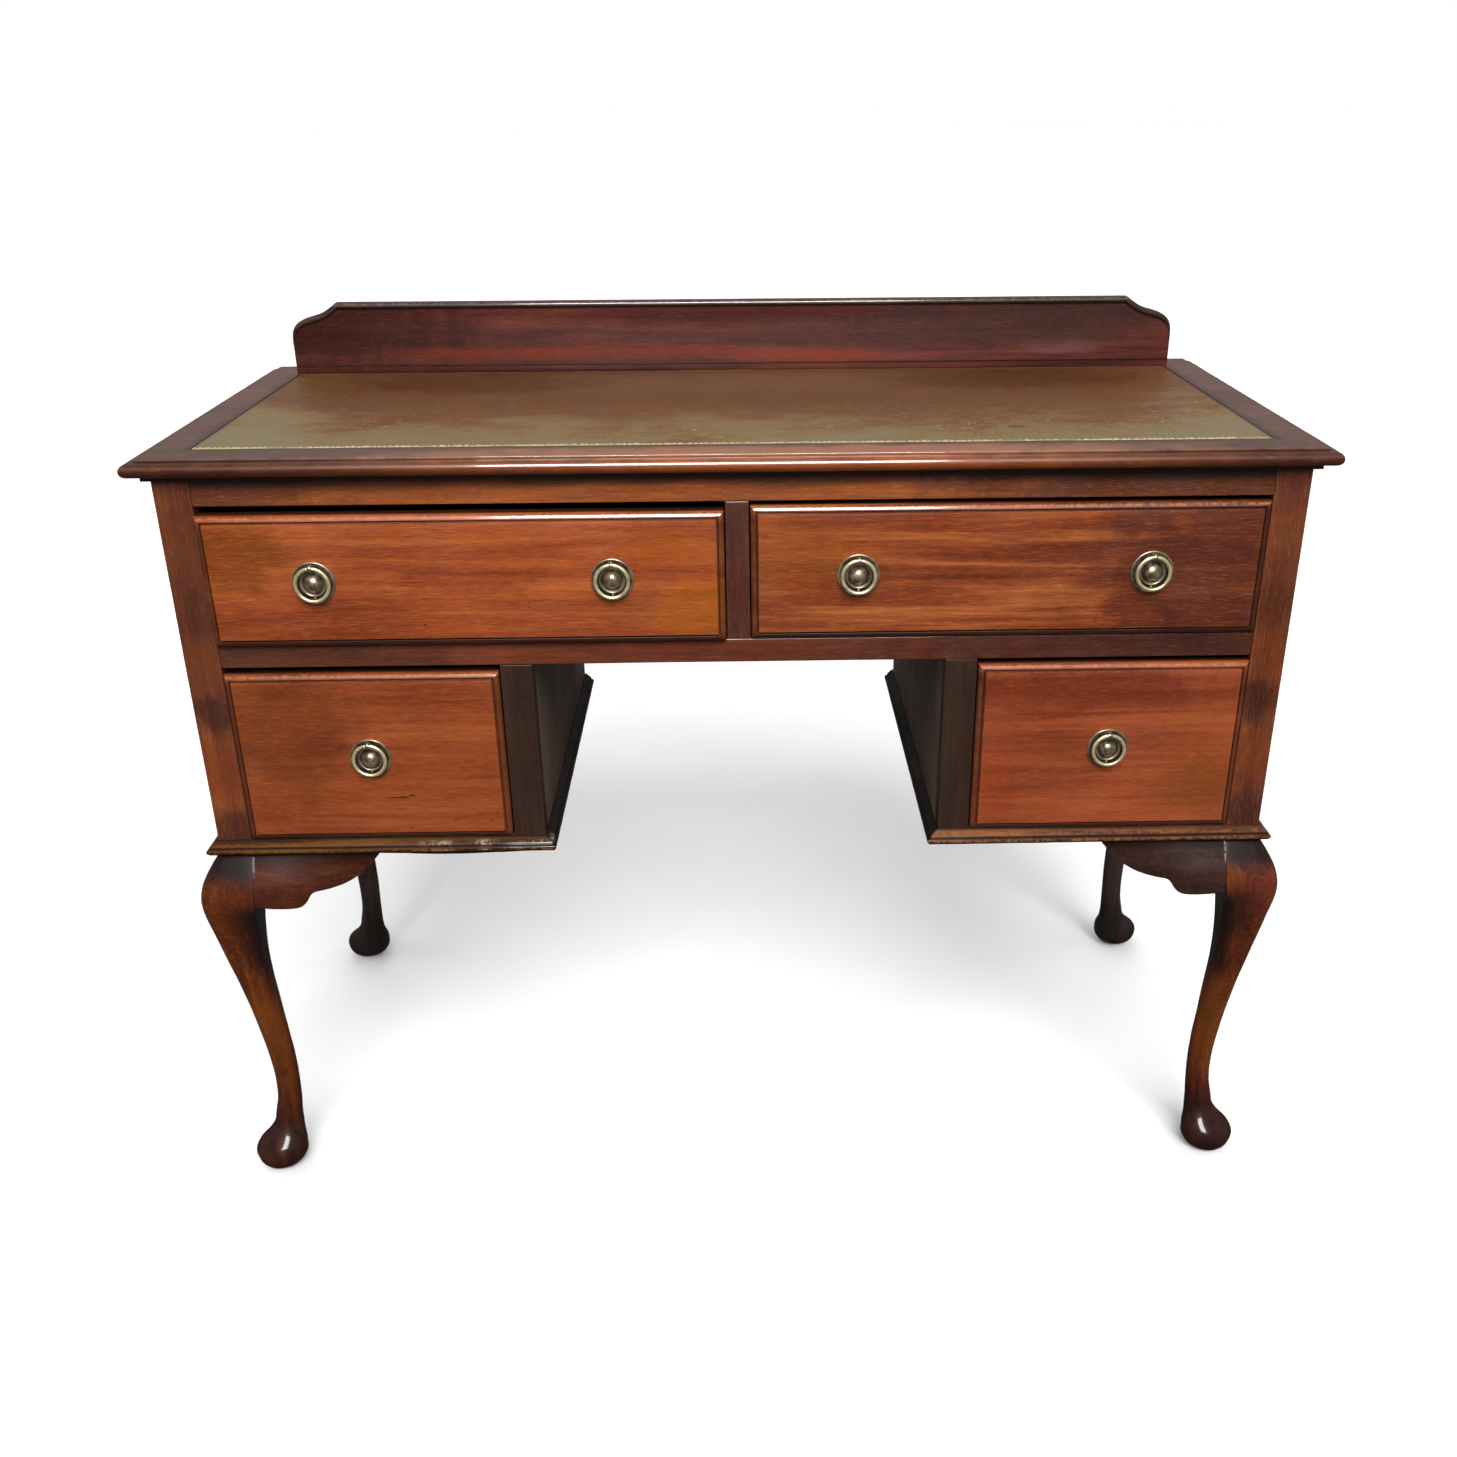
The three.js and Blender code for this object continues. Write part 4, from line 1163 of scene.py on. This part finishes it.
def make_drawer_fronts():
    """The four drawer fronts, each with its own wood."""
    boxes = [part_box(f"drawer_front_{name}") for name in DRAWERS]
    (ul_low, ul_high), (ur_low, ur_high), (ll_low, _), (lr_low, lr_high) = boxes
    # Each drawer's tones, strength of figure, patches and nicks
    looks = [
        (
            ("743217", "964721", "b35f2c"),
            0.75,
            [
                ((ul_low.x + 0.03, ul_high.z - 0.035), (0.07, 0.045), "7c4a17", 0.8),
                ((ul_high.x - 0.025, ul_low.z + 0.03), (0.07, 0.035), "b4721f", 0.7),
                ((ul_high.x - 0.05, ul_high.z - 0.03), (0.05, 0.02), "ac6620", 0.6),
                ((0.5 * (ul_low.x + ul_high.x), 0.65), (0.1, 0.02), "783220", 0.5),
            ],
            [(0.415, 0.17, 1.8, 0.8), (0.905, 0.03, 1.2, 1.6), (0.62, 0.3, 1.2, 0.5)],
        ),
        (
            ("64290f", "863e1d", "ac6130"),
            1.15,
            [
                ((ur_low.x + 0.05, ur_high.z - 0.045), (0.1, 0.03), "a56427", 0.65),
                ((ur_high.x - 0.02, 0.65), (0.22, 0.13), "5a3026", 0.85),
            ],
            [(0.452, 0.62, 1.6, 0.6), (0.4, 0.38, 1.0, 0.5)],
        ),
        (
            ("6f3017", "8b4320", "a05227"),
            0.65,
            [
                ((ll_low.x + 0.05, 0.5), (0.1, 0.08), "6e4020", 0.6),
                ((-0.4, 0.49), (0.04, 0.02), "74351d", 0.5),
            ],
            [
                (0.6, 0.265, 7, 1.3), (0.565, 0.262, 5, 0.9), (0.635, 0.275, 4, 1.0),
                (0.62, 0.07, 2, 0.7), (0.79, 0.12, 1.4, 0.7), (0.83, 0.13, 0.9, 0.9),
                (0.93, 0.11, 1.4, 0.7), (0.95, 0.16, 1.6, 0.5),
            ],
        ),
        (
            ("6e301b", "904525", "a85831"),
            0.6,
            [
                ((0.33, lr_high.z - 0.025), (0.2, 0.026), "73341f", 0.75),
                ((lr_high.x - 0.03, lr_low.z + 0.05), (0.05, 0.05), "87521e", 0.75),
                ((lr_low.x + 0.02, 0.44), (0.03, 0.06), "9b441c", 0.5),
            ],
            [(0.3, 0.42, 1.2, 0.5), (0.7, 0.66, 1.2, 0.4)],
        ),
    ]
    for i, (name, (low, high), look) in enumerate(zip(DRAWERS, boxes, looks)):
        tones, figure, spots, nicks = look
        material = wood(
            f"drawer_mahogany_{name}", tones, grain="X", seed=70.0 + 3.1 * i, figure=figure,
            patches=on_front(ul_low.y, *spots), nicks=drawer_nicks(low, high, nicks),
            # The pale colour marks worn spots and painted highlight; the dark one marks dirt and painted
            # shade.
            worn="b0672c", wear=0.8, dirt_and_shade_tone="2a1712", roughness=(0.32, 0.46), coat_roughness=0.07,
        )
        make_drawer_front(name, 75.0 + i, material)


def dress_inside():
    """Bare wood for the drawers' insides and the carcass's hidden boards, with softened edges."""
    boxes = [f"drawer_box_{name}" for name in DRAWERS]
    bottoms = [f"drawer_bottom_{name}" for name in DRAWERS]
    hidden = ["centre_partition", "dust_board", "pedestal_base_left", "pedestal_base_right"]
    for name, dark, light, grain, seed, nodes in (
        ("drawer_side_wood", "8a6a44", "b08c60", "Y", 80.0, boxes),
        ("drawer_bottom_wood", "937248", "b99667", "X", 82.0, bottoms),
        ("carcass_inner_wood", "6e5234", "94734c", "X", 84.0, hidden),
        ("back_panel_wood", "4a3022", "6b4a34", "Z", 86.0, ["back_panel"]),
    ):
        material = bare_wood(name, dark, light, grain, seed)
        for node in nodes:
            dress_node(node, material)


def dress_node(node, material):
    """Gives a CAD node that is shown as it is a material, and breaks its sharp edges."""
    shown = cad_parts[node]
    weld = shown.modifiers.new("weld", "WELD")
    weld.merge_threshold = 0.01 * MM
    bevel = shown.modifiers.new("bevel", "BEVEL")
    bevel.width = 0.5 * MM
    bevel.segments = 2
    bevel.limit_method = "ANGLE"
    bevel.angle_limit = math.radians(35)
    shown.data.materials.clear()
    shown.data.materials.append(material)


# -------- pulls

LUG_HALF_WIDTH = 1.6 * MM
LUG_CLEARANCE = 0.35 * MM
LUG_WALL = 1.35 * MM
LUG_POINTS = 40


def turned(name, profile, centre, count=72):
    """A turned piece whose axis points to the front, from (radius, reach) in millimetres."""

    def place(radius, reach, angle):
        return centre + Vector((radius * math.cos(angle), -reach, radius * math.sin(angle))) * MM

    angles = steps(0, 2 * math.pi, count)
    rows = [[place(*point, angle) for angle in angles] for point in profile]
    return surface(name, [rows], sharp=50)


def rosette_profile():
    """Half of a rosette's section: rim, hollow, collar and dome."""
    rim = [(0, 0), (19.3, 0), (19.3, 0.5)] + arc(18.4, 0.6, 0.9, 0, 110, 6)
    hollow = [(17.4, 1.15), (16.4, 1.0), (15, 0.95), (13.4, 1.05), (12.4, 1.3)]
    collar = arc(11.1, 2.3, 0.9, 0, 180, 8)
    neck = [(9.6, 2.1), (8.9, 1.9), (8.2, 2.1)]
    dome = [(7.9 * c, 2.4 + 6.0 * s) for c, s in arc(0, 0, 1, 4, 90, 14)]
    return rim + hollow + collar + neck + dome


def make_pulls():
    """A brass rosette, lug and stud for each pull, and the ring that swings in the lug."""
    ring_brass = metal("ring_brass", "d8cb9e", "b5a679", "4a3d28", (0.26, 0.4), 90.0)
    rosette_brass = metal("rosette_brass", "94846b", "564839", "1c1410", (0.3, 0.46), 93.0)
    for index, (name, drawer) in enumerate(PULLS):
        low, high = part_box(f"pull_ring_{name}")
        wire = (high.y - low.y) / 2
        centre = (low + high) / 2
        ring_radius = (high.x - low.x) / 2 - wire
        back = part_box(f"pull_rosette_{name}")[1].y
        middle = Vector((centre.x, back, centre.z))
        rosette = turned(f"rosette_{name}", rosette_profile(), middle)

        def radius_of(p):
            return math.hypot(p.x - middle.x, p.z - middle.z) / MM

        def grime(p):
            r = radius_of(p)
            return 0.95 * near(r, 14.6, 2.4) + 0.9 * near(r, 9, 0.8)

        def wear(p):
            r = radius_of(p)
            return 0.7 * near(r, 18.9, 0.6) + 0.9 * near(r, 11.2, 0.8)

        paint(rosette, grime=grime, wear=wear)
        weather(rosette, 0.06 * MM, 0.006, 95.0 + index)
        on_drawer = dict(body=f"drawer_{drawer}", slot="rosette")
        finish_piece(rosette, rosette_brass, f"pull_rosette_{name}", **on_drawer)
        lug = make_lug(name, centre, back, ring_radius, wire)
        for piece in (lug, make_stud(name, middle, ring_radius)):
            paint(piece, grime=lambda p: 0.2, wear=lambda p: 0.4)
            finish_piece(piece, rosette_brass, **on_drawer)
        ring = make_ring(name, centre, ring_radius, wire)
        paint(ring, grime=lambda p: 0.5 * smooth(0, 1.2 * MM, p.y - centre.y), wear=lambda p: 0.5)
        weather(ring, 0.05 * MM, 0.006, 97.0 + index)
        finish_piece(ring, ring_brass, f"pull_ring_{name}", body=f"ring_{name}", slot="ring")


def make_ring(name, centre, radius, wire):
    """The ring, as a round wire bent to a circle."""
    section = arc(radius / MM, 0, wire / MM, 0, 360, 24)
    return turned(f"ring_{name}", section, centre, 96)


def make_lug(name, centre, back, ring_radius, wire):
    """The eye that the ring hangs in: a short post with a rounded head, pierced for the ring."""
    hole = wire + LUG_CLEARANCE
    outer = hole + LUG_WALL
    pivot = Vector((centre.x, centre.y, centre.z + ring_radius))
    # How far each section is from the middle, as a part of the half width, and how much it draws in
    sections = [(-1, 0.35), (-0.8, 0.1), (0, 0), (0.8, 0.1), (1, 0.35)]
    outlines, holes = [], []
    for part, pinch in sections:
        x = part * LUG_HALF_WIDTH
        outlines.append(eye_outline(pivot, back, outer - pinch * MM, x))
        holes.append([pivot + Vector((x, hole * c, hole * s)) for c, s in arc(0, 0, 1, 0, 360, LUG_POINTS)])
    cheeks = [[outlines[0], holes[0]], [outlines[-1], holes[-1]]]
    return surface(f"lug_{name}", [outlines, holes, *cheeks], sharp=50)


def eye_outline(pivot, back, radius, x):
    """The eye's outline at one place across it: round in front, drawn back to the plate behind."""
    points = []
    for y, z in arc(0, 0, radius, 0, 360, LUG_POINTS):
        if y > 0:
            z *= between(1, 0.62, smooth(0, radius, y))
            y = (back - 0.9 * MM - pivot.y) * smooth(0, radius, y)
        points.append(pivot + Vector((x, y, z)))
    return points


def make_stud(name, middle, ring_radius):
    """The small stud low on the plate that the ring rests against."""
    centre = middle - Vector((0, 0, ring_radius - 1.6 * MM))
    profile = [(0, 0.7), (1.3, 0.7), (1.25, 1.6), (1.1, 2.6), (0.7, 3.0), (0, 3.1)]
    return turned(f"stud_{name}", profile, centre, 20)


# -------- floor, light and camera


def make_floor():
    """A wide pale floor, a hair below the feet, which the desk neither mirrors nor is lit by."""
    reach, height = 40, -0.2 * MM
    places = steps(-reach, reach, 8)
    floor = surface("floor", [[[Vector((x, y, height)) for x in places] for y in places]])
    floor.data.materials.append(pale_floor())
    floor.visible_glossy = False
    floor.visible_diffuse = False


def add_light(name, kind, direction, energy, size, place=(0, 0, 0), highlight=False):
    """A light that shines along direction, either softly or only as a highlight in what is polished."""
    data = bpy.data.lights.new(name, kind)
    data.energy = energy
    if kind == "SUN":
        data.angle = math.radians(size)
    else:
        data.shape = "RECTANGLE"
        data.size, data.size_y = size
    light = bpy.data.objects.new(name, data)
    light.location = place
    light.visible_glossy = highlight
    light.visible_diffuse = not highlight
    light.rotation_mode = "QUATERNION"
    light.rotation_quaternion = Vector(direction).to_track_quat("-Z", "Y")
    bpy.context.scene.collection.objects.link(light)


def make_light():
    """Soft suns from all round, and a window in front that shows only as a highlight."""
    add_light("key", "SUN", (-0.1, 0.76, -0.65), 3.4, 36)
    add_light("sky", "SUN", (0, 0.1, -1), 0.35, 100)
    add_light("back", "SUN", (0.1, -0.8, -0.6), 1.1, 60)
    add_light("side_left", "SUN", (1, 0.15, -0.35), 0.9, 60)
    add_light("side_right", "SUN", (-1, 0.15, -0.35), 0.9, 60)
    window = Vector((-0.05, -2.1, 2.35))
    add_light("window", "AREA", Vector((0, -0.2, 0.7)) - window, 225, (1.1, 1.2), window, highlight=True)
    make_world()


def make_world():
    """A white backdrop for the camera, and for everything else a dim sky, brighter overhead."""
    world = bpy.data.worlds.new("studio")
    g = Graph(world)
    direction = g.node("ShaderNodeTexCoord").outputs["Generated"]
    height = g.node("ShaderNodeSeparateXYZ", {0: direction}).outputs["Z"]
    strength = g.node("ShaderNodeMapRange", {0: height, 1: -0.1, 2: 0.3, 3: 0.07, 4: 0.27}).outputs[0]
    seen = g.node("ShaderNodeBackground", {"Color": (1, 1, 1, 1)}).outputs[0]
    felt = g.node("ShaderNodeBackground", {"Color": (0.96, 0.98, 1, 1), "Strength": strength}).outputs[0]
    by_camera = g.node("ShaderNodeLightPath").outputs["Is Camera Ray"]
    mixed = g.node("ShaderNodeMixShader", {0: by_camera, 1: felt, 2: seen}).outputs[0]
    g.node("ShaderNodeOutputWorld", {0: mixed})
    bpy.context.scene.world = world
    bpy.context.scene.view_settings.view_transform = "Standard"


CAMERA_PLACE = (-0.0004, -1.6153, 1.0392)
# Degrees to the right, up, and about the line of sight
CAMERA_YAW, CAMERA_PITCH, CAMERA_ROLL = 1.2986, -27.9028, -0.317
CAMERA_LENS = 38.395
CAMERA_SHIFT = (-0.0312, 0.1211)


def make_camera():
    """A camera a little above the desk, looking down at its front."""
    data = bpy.data.cameras.new("camera")
    data.sensor_width = 36
    data.lens = CAMERA_LENS
    data.shift_x, data.shift_y = CAMERA_SHIFT
    camera = bpy.data.objects.new("camera", data)
    pose = Matrix.Translation(CAMERA_PLACE)
    for angle, axis in ((-CAMERA_YAW, "Z"), (90 + CAMERA_PITCH, "X"), (CAMERA_ROLL, "Z")):
        pose = pose @ Matrix.Rotation(math.radians(angle), 4, axis)
    camera.matrix_world = pose
    bpy.context.scene.collection.objects.link(camera)
    bpy.context.scene.camera = camera


make_camera()
make_light()
make_floor()
make_top()
make_leather()
make_gallery()
make_gallery_bead()
make_boards()
make_stiles_and_sides()
make_base_mouldings()
make_legs()
make_brackets()
make_drawer_fronts()
make_pulls()
dress_inside()
